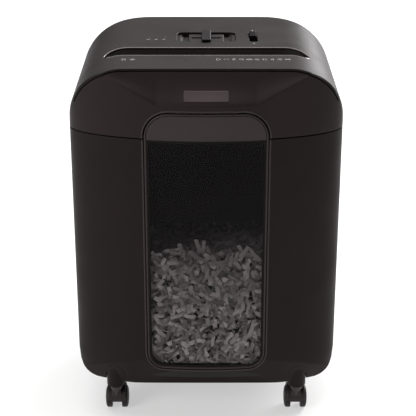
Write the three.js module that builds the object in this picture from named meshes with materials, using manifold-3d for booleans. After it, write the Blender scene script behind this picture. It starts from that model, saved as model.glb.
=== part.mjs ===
// A cross-cut paper shredder on four twin-wheel casters, with a pull-out bin.
// Millimetres, +Z up. The origin is on the floor, under the middle of the object; the front faces -Y.
import * as THREE from 'three';
import { mergeVertices } from 'three/addons/utils/BufferGeometryUtils.js';
import Module from 'manifold-3d';

const wasm = await Module();
wasm.setup();

// ---- driving dimensions -------------------------------------------------------------------------

const HALF_WIDTH = 170;         // body, side to side
const FRONT_Y = -141;           // foremost line of the body shells
const BACK_Y = 142;             // flat back of the body
const BASE_Z = 52;              // underside of the body
const DECK_Z = 482;             // flat middle of the top cover
const GAP = 0.3;                // between touching pieces
const SEAM = 1.2;               // visible joint between the head and the bin

const NOSE_DEPTH = 60;          // how far the bowed front falls back at the sides
const CROWN_X = 102;            // where the deck starts to round off
const CROWN_DROP = 75;          // height of the rounded shoulder
const SCOOP_Z = 441;            // where the head's front starts to hollow back, in the middle
const SCOOP_HALF = 60;          // half width of the level part of that line
const SCOOP_END = 128;          // where the hollow runs out at the deck's curve
const SCOOP_DEPTH = 23;
const TUCK_Z = 97;              // where the lower front starts to tuck under, in the middle
const LIP_HEIGHT = 11;          // upright lip along the middle of the bottom edge
const TOE_Y = -120;             // front of the bottom edge
const TOE_HALF = 100;           // half width of its straight part
const FOOT_HEIGHT = 40;         // rounded lower side corners
const FOOT_WIDTH = 30;
const BACK_RADIUS = 30;         // upright back corners
const BACK_EDGE = 4;            // small radius along the back of the deck

const SHELL = 3;                // wall of the casing and of the bin front
const CABINET_WALL = 3.2;
const COVER = 2.6;              // thickness of the top cover
const COVER_SIDE_Z = 436;       // lower edge of the cover at the sides
const HEAD_Z = 398;             // joint between the head and the bin
const PART_Y = -78;             // joint between the bin front and the cabinet

const ARCH_HALF = 75.4;         // bezel round the window and the grip panel
const ARCH_TOP = 431.8;
const ARCH_BOTTOM = 85;
const ARCH_TOP_RADIUS = 30.5;
const ARCH_BOTTOM_RADIUS = 21;
const HEAD_GAP = 1.6;           // round the bezel, in the head
const PANEL_GAP = 0.9;          // and in the bin's front panel
const PANE_HALF = 72.5;
const PANE_TOP = 397.2;
const PANE_BOTTOM = 88;
const PANE_RADIUS = 18;

const MOUTH_HALF = 127;         // paper mouth in the deck
const MOUTH_Y = -41;
const MOUTH_WIDTH = 34;
const MOUTH_FRONT_RADIUS = 8;
const MOUTH_BACK_X = 36;        // its rear corners are part of an ellipse
const MOUTH_BACK_Y = 26;
const THROAT = 8;               // clear gap between the two guides

const TROUGH = { half: 38, front: 8, back: 54, floor: DECK_Z - 6 };    // for the direction switch
const LOCK = { left: 55.6, right: 66.4, front: 6, back: 55, floor: 474 };
const LED_XS = [-74.9, -64.9, -54.9];
const LED_Y = 23;
const LED_RADIUS = 1.6;
const KNOB_TOP = 486;

const CUTTER_Z = 432;
const CUTTER_SPACING = 42;      // between the two cutter shafts
const CUTTER_RADIUS = 23;
const CUTTER_HEX = 17;          // corner radius of the hexagonal shaft
const DISC_PITCH = 10;
const DISC_WIDTH = 4.4;
const PLATE_X = 124;            // inner face of the two frame plates
const PLATE_WIDTH = 3;
const PLATE_FRONT = -92;
const PLATE_BACK = 84;
const PLATE_TOP = 449;
const JOURNAL = 6;              // radius of the cutters' round ends
const BUSHING_RADIUS = 9.1;
const STRIPPER_REACH = 27;      // from a cutter's axis to its stripper bar
const CHUTE = { half: 121, front: -92, back: 6 };     // opening under the cutters
const FLOOR_Z = HEAD_Z + SEAM + 0.4;                  // underside of the head's base plate
const FLOOR_TOP = FLOOR_Z + 3.4;
const FRONT_AXIS_Y = MOUTH_Y - CUTTER_SPACING / 2;
const REAR_AXIS_Y = MOUTH_Y + CUTTER_SPACING / 2;

const MODULE = 1.5;             // of every gear
const CUTTER_TEETH = 28;
const PINION_TEETH = 12;
const WHEEL_TEETH = 34;
const GEAR_X = PLATE_X + PLATE_WIDTH + 2;
const GEAR_WIDTH = 6;
const WHEEL_GEAR_X = GEAR_X + GEAR_WIDTH + 1.2;
const WHEEL_GEAR_WIDTH = 5;
const PIN_BORE = 3.3;           // of the idler
const pitchRadius = (teeth) => (teeth * MODULE) / 2;
// How far apart two meshing axes lie in Y, when one is a given height above the other.
const axisStep = (teeth, mate, rise) =>
  Math.sqrt((pitchRadius(teeth) + pitchRadius(mate)) ** 2 - rise ** 2);
const IDLER = { y: REAR_AXIS_Y + axisStep(CUTTER_TEETH, PINION_TEETH, 1), z: CUTTER_Z + 1 };
const MOTOR = { y: IDLER.y + axisStep(WHEEL_TEETH, PINION_TEETH, 3), z: IDLER.z + 3 };
const MOTOR_RIGHT = 100;
const MOTOR_RADIUS = 26;
const TIE_FRONT = { y: -86, z: 411 };
const TIE_REAR = { y: 78, z: 411 };

const BOARD = { left: -108, right: -38, front: 20, back: 88, z: 452 };
const CAPACITOR = { left: -112, right: -52, y: 116, z: 422, radius: 14 };
const BIN_SWITCH = { x: 152, y: 90, height: 16 };
const CORD = { x: 110, z: 420, radius: 4.4 };
const VENTS = { first: -88, step: 10, width: 4, count: 6, bottom: 424, top: 458 };

const TUB_WALL = 2.6;
const TUB_CLEARANCE = 0.6;      // between the tub and the bin's front panel
const TUB_BACK = 130;
const KEEL_TOP = 82;            // the tub is narrow below this height
const HEAP_CRUST = 7;           // the loose shreds weigh as much as a crust this thick

const CASTER_X = 120.3;          // swivel axes
const CASTER_Y = 106;
const TRAIL = 15;               // axle behind the swivel axis
const WHEEL_RADIUS = 15;
const WHEEL_SIDES = 12;
const TREAD_IN = 6.7;           // the tread's two edges, from the caster's middle
const TREAD_OUT = 12.9;
const WHEEL_OUT = 15.4;
const AXLE_RADIUS = 2;
const HOOD_HALF = 12;
const HOOD_IN = 17.2;           // inner and outer radius of the hood over the wheels
const HOOD_OUT = 19;
const PIN_RADIUS = 4;           // swivel pin
const SOCKET_Z = 43;            // underside of the caster sockets
const SOCKET_RADIUS = 12;
const SOCKET_TOP = 78;          // rounded top of the two front sockets
// ---- materials ----------------------------------------------------------------------------------

const material = (color, roughness, metalness = 0) =>
  new THREE.MeshStandardMaterial({ color, roughness, metalness });

const SHELL_BLACK = material(0x2b2728, 0.5);
const COVER_BLACK = material(0x474142, 0.5);
const BEZEL_BLACK = material(0x383334, 0.4);
const TRIM_BLACK = material(0x161415, 0.45);
const SMOKED = material(0x141213, 0.12);
const STEEL = material(0x8d8f92, 0.35, 1);
const HARD_STEEL = material(0x6f6b66, 0.3, 1);
const BRONZE = material(0x9a7440, 0.4, 1);
const NYLON = material(0xd8d4c8, 0.55);
const BOARD_GREEN = material(0x1e5a36, 0.6);
const PAPER = material(0xb9b4b1, 0.9);
const RUBBER = material(0x1a1819, 0.8);
const PLATE_GREY = material(0x5c5555, 0.4, 0.4);
const INNER_BLACK = material(0x1d1b1c, 0.6);

// ---- solids -------------------------------------------------------------------------------------

function toSolid(geometry) {
  geometry.deleteAttribute('normal');
  geometry.deleteAttribute('uv');
  const merged = mergeVertices(geometry, 1e-4);
  return new wasm.Manifold(new wasm.Mesh({
    numProp: 3,
    vertProperties: Float32Array.from(merged.attributes.position.array),
    triVerts: Uint32Array.from(merged.index.array),
  }));
}

function toGeometry(solid) {
  const mesh = solid.getMesh();
  const geometry = new THREE.BufferGeometry();
  geometry.setAttribute('position', new THREE.BufferAttribute(mesh.vertProperties, 3));
  geometry.setIndex(new THREE.BufferAttribute(mesh.triVerts, 1));
  return geometry;
}

const unite = (...solids) => solids.reduce((whole, solid) => whole.add(solid));

function box(x0, x1, y0, y1, z0, z1) {
  const geometry = new THREE.BoxGeometry(x1 - x0, y1 - y0, z1 - z0);
  geometry.translate((x0 + x1) / 2, (y0 + y1) / 2, (z0 + z1) / 2);
  return toSolid(geometry);
}

// Sweeps an outline along one axis. The outline's two coordinates are the other two axes, in the
// order XY, XZ or YZ.
function prism(outline, axis, from, to, curveSegments = 4) {
  const shape = outline instanceof THREE.Shape
    ? outline
    : new THREE.Shape(outline.map(([a, b]) => new THREE.Vector2(a, b)));
  const options = { depth: to - from, bevelEnabled: false, curveSegments, steps: 1 };
  const geometry = new THREE.ExtrudeGeometry(shape, options);
  if (axis === 'z') {
    geometry.translate(0, 0, from);
  } else if (axis === 'y') {
    geometry.rotateX(Math.PI / 2);
    geometry.translate(0, to, 0);
  } else {
    const turn = new THREE.Matrix4().makeBasis(
      new THREE.Vector3(0, 1, 0), new THREE.Vector3(0, 0, 1), new THREE.Vector3(1, 0, 0));
    geometry.applyMatrix4(turn);
    geometry.translate(from, 0, 0);
  }
  return toSolid(geometry);
}

// A rectangle with one radius at its two upper corners and another at its two lower ones.
function roundedRect(left, right, bottom, top, lower, upper = lower) {
  const shape = new THREE.Shape();
  shape.moveTo(left + lower, bottom);
  shape.lineTo(right - lower, bottom);
  if (lower > 0) shape.absarc(right - lower, bottom + lower, lower, -Math.PI / 2, 0);
  shape.lineTo(right, top - upper);
  if (upper > 0) shape.absarc(right - upper, top - upper, upper, 0, Math.PI / 2);
  shape.lineTo(left + upper, top);
  if (upper > 0) shape.absarc(left + upper, top - upper, upper, Math.PI / 2, Math.PI);
  shape.lineTo(left, bottom + lower);
  if (lower > 0) shape.absarc(left + lower, bottom + lower, lower, Math.PI, Math.PI * 1.5);
  return shape;
}

// A rod along one axis, with a flat side facing down where it has an even number of sides.
function rod(radius, axis, from, to, a, b, sides = 12, radiusTo = radius) {
  const geometry = new THREE.CylinderGeometry(radiusTo, radius, to - from, sides);
  geometry.rotateY(Math.PI / sides);
  geometry.translate(0, (from + to) / 2, 0);
  if (axis === 'z') {
    geometry.rotateX(Math.PI / 2);
    geometry.translate(a, b, 0);
  } else if (axis === 'y') {
    geometry.translate(a, 0, b);
  } else {
    geometry.rotateZ(-Math.PI / 2);
    geometry.translate(0, a, b);
  }
  return toSolid(geometry);
}

// A ring or a turned piece about an axis along X: pairs of radius and X.
function turned(profile, y, z, sides) {
  const points = profile.map(([radius, x]) => new THREE.Vector2(radius, x));
  points.push(points[0].clone());
  const geometry = new THREE.LatheGeometry(points, sides);
  geometry.rotateY(Math.PI / sides);
  geometry.rotateZ(-Math.PI / 2);
  geometry.translate(0, y, z);
  const solid = toSolid(geometry);
  return solid.volume() > 0 ? solid : flipped(geometry);
}

function flipped(geometry) {
  const index = geometry.index.array;
  for (let i = 0; i < index.length; i += 3) {
    const swap = index[i];
    index[i] = index[i + 1];
    index[i + 1] = swap;
  }
  return toSolid(geometry);
}

// ---- the outer form of the body -----------------------------------------------------------------

// Half width of the body at a height, set in by a wall thickness.
function halfWidthAt(z, inset) {
  const shoulder = DECK_Z - CROWN_DROP;
  if (z > shoulder) {
    const rise = Math.min(1, (z - shoulder) / (CROWN_DROP - inset));
    return CROWN_X + (HALF_WIDTH - CROWN_X - inset) * Math.sqrt(1 - rise * rise);
  }
  const foot = BASE_Z + FOOT_HEIGHT;
  if (z < foot) {
    const drop = Math.min(1, (foot - z) / (FOOT_HEIGHT - inset));
    return HALF_WIDTH - FOOT_WIDTH + (FOOT_WIDTH - inset) * Math.sqrt(1 - drop * drop);
  }
  return HALF_WIDTH - inset;
}

// Height of the deck's curve over a point across the width.
function crownAt(x) {
  const beyond = Math.min(1, Math.max(0, Math.abs(x) - CROWN_X) / (HALF_WIDTH - CROWN_X));
  return DECK_Z - CROWN_DROP + CROWN_DROP * Math.sqrt(1 - beyond * beyond);
}

// How far the front falls back from its foremost line, as part of an ellipse in plan.
function bowAt(x) {
  const across = Math.min(1, Math.abs(x) / HALF_WIDTH);
  return NOSE_DEPTH * (1 - Math.sqrt(1 - across * across));
}

// The hollow under the deck: level in the middle, and rising to the deck's curve at both sides.
function scoopAt(x, z) {
  const side = Math.max(0, Math.abs(x) - SCOOP_HALF) / (SCOOP_END - SCOOP_HALF);
  const start = SCOOP_Z + (crownAt(SCOOP_END) - SCOOP_Z) * side;
  const crown = crownAt(x);
  if (side >= 1 || z <= start || crown <= start) return 0;
  const rise = Math.min(1, (z - start) / (crown - start));
  const deepest = SCOOP_DEPTH + (bowAt(SCOOP_END) - SCOOP_DEPTH) * side ** 3 - bowAt(x);
  return Math.max(0, deepest) * (1 - (1 - rise) ** 2);
}

// The foot tucks under from a line that drops towards the sides, down to an upright lip.
function tuckAt(x, z) {
  const crease = TUCK_Z - 21 * (Math.abs(x) / 145) ** 3;
  if (z >= crease) return 0;
  const lip = BASE_Z + LIP_HEIGHT * Math.max(0.06, 1 - (x / (TOE_HALF + 5)) ** 2);
  const toe = TOE_Y + 0.4 * Math.max(0, Math.abs(x) - TOE_HALF);
  const deepest = Math.max(3, toe - FRONT_Y - bowAt(x));
  return deepest * Math.min(1, (crease - z) / (crease - lip));
}

// The front is bowed, hollowed back under the deck and tucked in at the foot.
function frontAt(x, z, inset) {
  return FRONT_Y + bowAt(x) + scoopAt(x, z) + tuckAt(x, z) + inset;
}

function backAt(z, inset) {
  const over = Math.max(0, z - (DECK_Z - BACK_EDGE));
  const radius = BACK_EDGE - Math.min(inset, BACK_EDGE - 1);
  const reach = Math.sqrt(Math.max(0, radius * radius - over * over));
  return BACK_Y - BACK_EDGE + (over > 0 ? reach : radius) - Math.max(0, inset - BACK_EDGE + 1);
}

// One level of the body: the right half from the front centre to the back centre, then mirrored.
function outlineAt(z, inset) {
  const half = halfWidthAt(z, inset);
  const limit = Math.asin(Math.min(1, half / HALF_WIDTH));
  const frontSteps = 8;
  const cornerSteps = 4;
  const right = [];
  for (let i = 0; i <= frontSteps; i += 1) {
    const x = i < frontSteps ? HALF_WIDTH * Math.sin((limit * i) / frontSteps) : half;
    right.push([x, frontAt(x, z, inset)]);
  }
  const back = backAt(z, inset);
  const radius = BACK_RADIUS - inset;
  for (let i = 0; i <= cornerSteps; i += 1) {
    const angle = ((Math.PI / 2) * i) / cornerSteps;
    right.push([half - radius + radius * Math.cos(angle), back - radius + radius * Math.sin(angle)]);
  }
  const left = right.slice(1).reverse().map(([x, y]) => [-x, y]);
  return [...right, ...left];
}

// Joins levels of the same number of points into one closed solid.
function loft(levels) {
  const count = levels[0].points.length;
  const positions = [];
  const index = [];
  for (const { z, points } of levels) {
    for (const [x, y] of points) positions.push(x, y, z);
  }
  for (let k = 0; k < levels.length - 1; k += 1) {
    for (let i = 0; i < count; i += 1) {
      const a = k * count + i;
      const b = k * count + ((i + 1) % count);
      index.push(a, b, b + count, a, b + count, a + count);
    }
  }
  const cap = (level) => THREE.ShapeUtils.triangulateShape(
    level.points.map(([x, y]) => new THREE.Vector2(x, y)), []);
  const top = (levels.length - 1) * count;
  for (const [a, b, c] of cap(levels[0])) index.push(c, b, a);
  for (const [a, b, c] of cap(levels[levels.length - 1])) index.push(top + a, top + b, top + c);
  const geometry = new THREE.BufferGeometry();
  geometry.setAttribute('position', new THREE.Float32BufferAttribute(positions, 3));
  geometry.setIndex(index);
  return toSolid(geometry);
}

// The whole outer form, or the same form set in by a wall thickness.
function body(inset, from = BASE_Z + inset, to = DECK_Z - inset) {
  const foot = BASE_Z + FOOT_HEIGHT;
  const shoulder = DECK_Z - CROWN_DROP;
  const heights = [];
  for (const angle of [25, 45, 65]) {
    heights.push(foot - (FOOT_HEIGHT - inset) * Math.cos((angle * Math.PI) / 180));
  }
  heights.push(TUCK_Z, shoulder, shoulder + 22, SCOOP_Z);
  for (const angle of [38, 50, 62, 74]) {
    heights.push(shoulder + (CROWN_DROP - inset) * Math.sin((angle * Math.PI) / 180));
  }
  heights.push(DECK_Z - inset - 0.6);
  const between = heights.filter((z) => z > from + 0.1 && z < to - 0.1);
  const levels = [from, ...between.sort((a, b) => a - b), to];
  return loft(levels.map((z) => ({ z, points: outlineAt(z, inset) })));
}

// Everything under the deck's own curve, lowered by a thickness, from front to back.
function underDeck(inset) {
  const shoulder = DECK_Z - CROWN_DROP;
  const outline = [[-HALF_WIDTH + inset, 0], [HALF_WIDTH - inset, 0]];
  const steps = 10;
  for (let i = 0; i <= steps; i += 1) {
    const angle = ((Math.PI / 2) * i) / steps;
    outline.push([
      CROWN_X + (HALF_WIDTH - CROWN_X - inset) * Math.cos(angle),
      shoulder + (CROWN_DROP - inset) * Math.sin(angle),
    ]);
  }
  for (let i = steps; i >= 0; i -= 1) {
    const [x, z] = outline[2 + i];
    outline.push([-x, z]);
  }
  return prism(outline, 'y', -200, 200);
}

const everywhere = (z0, z1) => box(-200, 200, -200, 200, z0, z1);

// The bezel's arch, widened by a margin, as a block through the front.
function arch(margin, bottom = ARCH_BOTTOM - margin, top = ARCH_TOP + margin) {
  const shape = roundedRect(
    -ARCH_HALF - margin, ARCH_HALF + margin, bottom, top,
    ARCH_BOTTOM_RADIUS + margin, ARCH_TOP_RADIUS + margin);
  return prism(shape, 'y', -160, -80, 5);
}

// The same bow from top to bottom, with no hollow and no tuck: the form of the bezel and the pane.
function straightFront(inset, from, to) {
  const outline = [];
  const steps = 12;
  for (let i = 0; i <= steps; i += 1) {
    const x = -ARCH_HALF - 3 + ((2 * ARCH_HALF + 6) * i) / steps;
    outline.push([x, FRONT_Y + bowAt(x) + inset]);
  }
  outline.push([ARCH_HALF + 3, -100], [-ARCH_HALF - 3, -100]);
  return prism(outline, 'z', from, to);
}

function paneBlock(margin) {
  const shape = roundedRect(
    -PANE_HALF - margin, PANE_HALF + margin, PANE_BOTTOM - margin, PANE_TOP + margin,
    PANE_RADIUS + margin, 0);
  return prism(shape, 'y', -160, -80, 5);
}

// ---- head ---------------------------------------------------------------------------------------

// The paper mouth, with small corners in front and long elliptical ones behind.
function mouthOutline() {
  const front = MOUTH_Y - MOUTH_WIDTH / 2;
  const back = MOUTH_Y + MOUTH_WIDTH / 2;
  const radius = MOUTH_FRONT_RADIUS;
  const shape = new THREE.Shape();
  shape.moveTo(-MOUTH_HALF + radius, front);
  shape.absarc(MOUTH_HALF - radius, front + radius, radius, -Math.PI / 2, 0);
  const cornerX = MOUTH_HALF - MOUTH_BACK_X;
  const cornerY = back - MOUTH_BACK_Y;
  shape.absellipse(cornerX, cornerY, MOUTH_BACK_X, MOUTH_BACK_Y, 0, Math.PI / 2);
  shape.absellipse(-cornerX, cornerY, MOUTH_BACK_X, MOUTH_BACK_Y, Math.PI / 2, Math.PI);
  shape.absarc(-MOUTH_HALF + radius, front + radius, radius, Math.PI, Math.PI * 1.5);
  return shape;
}

function topCover() {
  const skin = body(0).intersect(everywhere(COVER_SIDE_Z, DECK_Z)).subtract(underDeck(COVER));
  const trough = roundedRect(-TROUGH.half, TROUGH.half, TROUGH.front, TROUGH.back, 5);
  const lock = roundedRect(LOCK.left, LOCK.right, LOCK.front, LOCK.back, 3);
  const openings = [mouthOutline(), trough, lock].map((shape) => prism(shape, 'z', 440, 500));
  const sights = LED_XS.map((x) => rod(LED_RADIUS + GAP, 'z', 440, 500, x, LED_Y, 8));
  return skin.subtract(unite(...openings, ...sights));
}

function headCasing() {
  const wall = body(0).subtract(body(SHELL, 380)).intersect(everywhere(HEAD_Z + SEAM, DECK_Z));
  const below = unite(underDeck(COVER + 1.3), everywhere(HEAD_Z, COVER_SIDE_Z - GAP));
  let casing = wall.intersect(below).subtract(arch(HEAD_GAP, 300));
  for (let i = 0; i < VENTS.count; i += 1) {
    const x = VENTS.first + i * VENTS.step;
    casing = casing.subtract(
      box(x, x + VENTS.width, BACK_Y - 6, BACK_Y + 2, VENTS.bottom, VENTS.top));
  }
  return casing.subtract(rod(CORD.radius + 2.9, 'y', BACK_Y - 6, BACK_Y + 2, CORD.x, CORD.z, 10));
}

// The plate that closes the head from below, with the opening that the shreds fall through.
function headBase() {
  const inner = body(SHELL + 0.6, 380).intersect(everywhere(FLOOR_Z, FLOOR_TOP));
  const chute = roundedRect(-CHUTE.half, CHUTE.half, CHUTE.front, CHUTE.back, 4);
  const gripRoom = arch(4, 300).intersect(box(-90, 90, -150, -133, 390, 420));
  return inner.subtract(prism(chute, 'z', 380, 420, 2)).subtract(gripRoom);
}

// The two guides lead the paper from the mouth down to the nip between the cutters.
function frontGuide() {
  const lip = MOUTH_Y - THROAT / 2;
  const section = [
    [-58.5, 478.5], [lip - 1, 464], [lip, 452], [lip - 2, 451], [-56, 460], [-62.5, 462], [-62.5, 478.5],
  ];
  const wall = prism(section, 'x', -MOUTH_HALF, MOUTH_HALF);
  const cheek = (side) => {
    const outer = MOUTH_HALF + 3;
    const outline = [[118, 453], [123.5, 453], [123.5, 464], [outer, 464], [outer, 474], [MOUTH_HALF, 474]];
    const mirrored = outline.map(([x, z]) => [side * x, z]);
    return prism(mirrored, 'y', -62.5, -19.5);
  };
  return unite(wall, cheek(1), cheek(-1)).intersect(underDeck(COVER + 0.6));
}

function rearGuide() {
  const lip = MOUTH_Y + THROAT / 2;
  const section = [
    [-23.5, 478.5], [-19.5, 478.5], [-19.5, 462], [-26, 460], [lip + 2, 451], [lip, 452], [lip + 1, 464],
  ];
  return prism(section, 'x', -117.7, 117.7).intersect(underDeck(COVER + 0.6));
}

function framePlate(x) {
  const outline = roundedRect(PLATE_FRONT, PLATE_BACK, FLOOR_TOP + GAP, PLATE_TOP, 3);
  const plate = prism(outline, 'x', x, x + PLATE_WIDTH);
  const hole = (radius, y, z, sides) => rod(radius, 'x', x - 1, x + PLATE_WIDTH + 1, y, z, sides);
  return plate.subtract(unite(
    hole(BUSHING_RADIUS + 0.5, FRONT_AXIS_Y, CUTTER_Z, 10),
    hole(BUSHING_RADIUS + 0.5, REAR_AXIS_Y, CUTTER_Z, 10),
    hole(4.4, MOTOR.y, MOTOR.z, 8),
    hole(3.4, TIE_FRONT.y, TIE_FRONT.z, 6),
    hole(3.4, TIE_REAR.y, TIE_REAR.z, 6)));
}

// A tie rod with a shoulder at each end, which holds the frame plates apart.
function tieRod({ y, z }) {
  const inner = PLATE_X - GAP;
  const end = PLATE_X + PLATE_WIDTH;
  return unite(rod(4.5, 'x', -inner, inner, y, z, 8), rod(3, 'x', -end, end, y, z, 6));
}

// A bar with one finger in each gap between the discs of a cutter.
function stripper(axisY, first, count, outward) {
  const root = axisY + outward * STRIPPER_REACH;
  const tip = root - outward * 7;
  const y0 = Math.min(root, root + outward * 4);
  const bar = box(-PLATE_X + GAP, PLATE_X - GAP, y0, y0 + 4, CUTTER_Z - 6, CUTTER_Z + 6);
  const fingers = [];
  for (let i = 0; i < count; i += 1) {
    const x = first + i * DISC_PITCH;
    const from = Math.min(tip, root + outward);
    fingers.push(box(x - 2, x + 2, from, from + 8, CUTTER_Z - 4, CUTTER_Z + 4));
  }
  return unite(bar, ...fingers);
}

// ---- cutters and gears --------------------------------------------------------------------------

// A cutter: a hexagonal shaft with round journals, and toothed discs all along it.
function cutter(y, discs) {
  const reach = ((discs - 1) * DISC_PITCH) / 2;
  const teeth = 4;
  const outline = [];
  for (let i = 0; i < teeth; i += 1) {
    const start = (i * 2 * Math.PI) / teeth;
    for (const [turn, radius] of [[0, CUTTER_RADIUS - 2], [0.12, CUTTER_RADIUS]]) {
      const angle = start + turn * Math.PI;
      outline.push([y + radius * Math.cos(angle), CUTTER_Z + radius * Math.sin(angle)]);
    }
  }
  let solid = rod(CUTTER_HEX, 'x', -PLATE_X + 3, PLATE_X - 3, y, CUTTER_Z, 6);
  for (let i = 0; i < discs; i += 1) {
    const x = -reach + i * DISC_PITCH;
    solid = solid.add(prism(outline, 'x', x - DISC_WIDTH / 2, x + DISC_WIDTH / 2));
  }
  return solid.add(rod(JOURNAL, 'x', -PLATE_X - 5, GEAR_X + GEAR_WIDTH + 0.6, y, CUTTER_Z, 12));
}

// A flanged bushing that carries a cutter journal in a frame plate.
function bushing(y, side) {
  const inner = PLATE_X - 1.2;
  const outer = PLATE_X + PLATE_WIDTH;
  const bore = JOURNAL + GAP;
  const flange = BUSHING_RADIUS + 1.9;
  const profile = [[bore, inner], [flange, inner], [flange, PLATE_X - GAP],
    [BUSHING_RADIUS, PLATE_X - GAP], [BUSHING_RADIUS, outer], [bore, outer]];
  return turned(profile.map(([radius, x]) => [radius, side * x]), y, CUTTER_Z, 10);
}

// Straight trapezoid teeth round a hub, with running clearance.
function gear(teeth, y, z, x0, x1, phase, bore) {
  const pitch = pitchRadius(teeth);
  const root = pitch - 1.3 * MODULE;
  const tip = pitch + 0.85 * MODULE;
  const step = (2 * Math.PI) / teeth;
  const outline = [];
  for (let i = 0; i < teeth; i += 1) {
    const middle = phase + i * step;
    for (const [turn, radius] of [[-0.3, root], [-0.1, tip], [0.1, tip], [0.3, root]]) {
      const angle = middle + turn * step;
      outline.push([y + radius * Math.cos(angle), z + radius * Math.sin(angle)]);
    }
  }
  const blank = prism(outline, 'x', x0, x1);
  return bore > 0 ? blank.subtract(rod(bore, 'x', x0 - 1, x1 + 1, y, z, 12)) : blank;
}

// Direction from one axis to another, as an angle in the YZ plane.
const directionTo = (from, to) => Math.atan2(to.z - from.z, to.y - from.y);

// Turns a gear so that a tooth of its driver meets a gap of its own.
function meshPhase(teeth, toDriver, driverTeeth, driverPhase, fromDriver) {
  const driverStep = (2 * Math.PI) / driverTeeth;
  const part = ((fromDriver - driverPhase) / driverStep) % 1;
  return toDriver + (part + 0.5) * ((2 * Math.PI) / teeth);
}

function gearTrain() {
  const front = { y: FRONT_AXIS_Y, z: CUTTER_Z };
  const rear = { y: REAR_AXIS_Y, z: CUTTER_Z };
  const frontPhase = 0;
  const rearPhase = meshPhase(CUTTER_TEETH, directionTo(rear, front), CUTTER_TEETH, frontPhase,
    directionTo(front, rear));
  const idlerPhase = meshPhase(PINION_TEETH, directionTo(IDLER, rear), CUTTER_TEETH, rearPhase,
    directionTo(rear, IDLER));
  const wheelPhase = 0;
  const pinionPhase = meshPhase(PINION_TEETH, directionTo(MOTOR, IDLER), WHEEL_TEETH, wheelPhase,
    directionTo(IDLER, MOTOR));
  const end = GEAR_X + GEAR_WIDTH;
  const wheelEnd = WHEEL_GEAR_X + WHEEL_GEAR_WIDTH;
  const cutterGear = (axis, phase) =>
    gear(CUTTER_TEETH, axis.y, axis.z, GEAR_X, end, phase, JOURNAL + GAP);
  const idler = unite(
    gear(PINION_TEETH, IDLER.y, IDLER.z, GEAR_X, WHEEL_GEAR_X + 0.5, idlerPhase, 0),
    gear(WHEEL_TEETH, IDLER.y, IDLER.z, WHEEL_GEAR_X, wheelEnd, wheelPhase, 0),
  ).subtract(rod(PIN_BORE, 'x', GEAR_X - 2, wheelEnd + 2, IDLER.y, IDLER.z, 12));
  const pinion = unite(
    gear(PINION_TEETH, MOTOR.y, MOTOR.z, WHEEL_GEAR_X, wheelEnd, pinionPhase, 0),
    rod(3.7, 'x', MOTOR_RIGHT + GAP, WHEEL_GEAR_X + 0.5, MOTOR.y, MOTOR.z, 12));
  return {
    frontGear: cutterGear(front, frontPhase),
    rearGear: cutterGear(rear, rearPhase),
    idler,
    pinion,
  };
}

function motor() {
  const can = rod(MOTOR_RADIUS, 'x', -22, MOTOR_RIGHT - 12, MOTOR.y, MOTOR.z, 18);
  const nose = rod(12, 'x', MOTOR_RIGHT - 13, MOTOR_RIGHT, MOTOR.y, MOTOR.z, 12);
  const tail = rod(10, 'x', -28, -21, MOTOR.y, MOTOR.z, 12);
  const foot = box(-10, MOTOR_RIGHT - 24, MOTOR.y - 20, MOTOR.y + 20, FLOOR_TOP + GAP, MOTOR.z - 18);
  return unite(can, nose, tail, foot);
}

function idlerPin() {
  const end = WHEEL_GEAR_X + WHEEL_GEAR_WIDTH;
  return rod(PIN_BORE - GAP, 'x', PLATE_X + PLATE_WIDTH + GAP, end + 1.5, IDLER.y, IDLER.z, 12);
}

// A cover over the gears, open towards the right-hand frame plate that carries it.
function gearCover() {
  const x0 = PLATE_X + PLATE_WIDTH + GAP;
  const x1 = WHEEL_GEAR_X + WHEEL_GEAR_WIDTH + 4;
  const outer = prism(roundedRect(-92, 60, FLOOR_TOP + GAP, 462, 6), 'x', x0, x1, 2);
  const inner = prism(roundedRect(-90, 58, FLOOR_TOP + 1.2, 461, 5), 'x', x0 - 1, x1 - 2, 2);
  return outer.subtract(inner).intersect(underDeck(COVER + 2));
}

function controlBoard() {
  const { left, right, front, back, z } = BOARD;
  const board = box(left, right, front, back, z, z + 1.6);
  const relay = box(left + 8, left + 26, back - 28, back - 8, z + 1, z + 16);
  const chip = box(left + 38, left + 52, front + 20, front + 36, z + 1, z + 5);
  const header = box(right - 22, right - 6, back - 22, back - 14, z + 1, z + 8);
  return unite(board, relay, chip, header);
}

function capacitor() {
  const { left, right, y, z, radius } = CAPACITOR;
  return rod(radius, 'x', left, right, y, z, 14);
}

function capacitorClip() {
  const { left, y, z, radius } = CAPACITOR;
  const block = box(left + 22, left + 38, y - 16, y + 16, FLOOR_TOP + GAP, z + 8);
  return block.subtract(rod(radius + GAP, 'x', left + 21, left + 39, y, z, 14));
}

function ledLens(x) {
  const light = rod(LED_RADIUS, 'z', 474, DECK_Z - 0.4, x, LED_Y, 8);
  return unite(light, rod(LED_RADIUS + 1.2, 'z', 466, 475, x, LED_Y, 8));
}

// The recessed tray that the direction switch slides in, with a raised island across it.
function switchTray() {
  const { half, front, back, floor } = TROUGH;
  const outer = box(-half - 3, half + 3, front - 3, back + 3, floor - 2, DECK_Z - COVER - GAP);
  const hollow = prism(roundedRect(-half + 6, half - 6, front, back, 4), 'z', floor, DECK_Z, 2);
  const slot = box(-22, 22, 29, 33, floor - 4, floor + 1);
  return outer.subtract(hollow).subtract(slot);
}

function selectorKnob() {
  const grip = box(-6, 6, 3, 52, DECK_Z + GAP, KNOB_TOP);
  const web = box(-5, 5, 12, 50, TROUGH.floor + GAP, DECK_Z + 1);
  const tail = box(-3, 3, 29.5, 32.5, TROUGH.floor - 7, TROUGH.floor + 1);
  let knob = unite(grip, web, tail);
  for (let i = 0; i < 3; i += 1) {
    knob = knob.subtract(box(-3.6 + i * 3, -2.4 + i * 3, 2, 53, KNOB_TOP - 1, KNOB_TOP + 1));
  }
  return knob;
}

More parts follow.
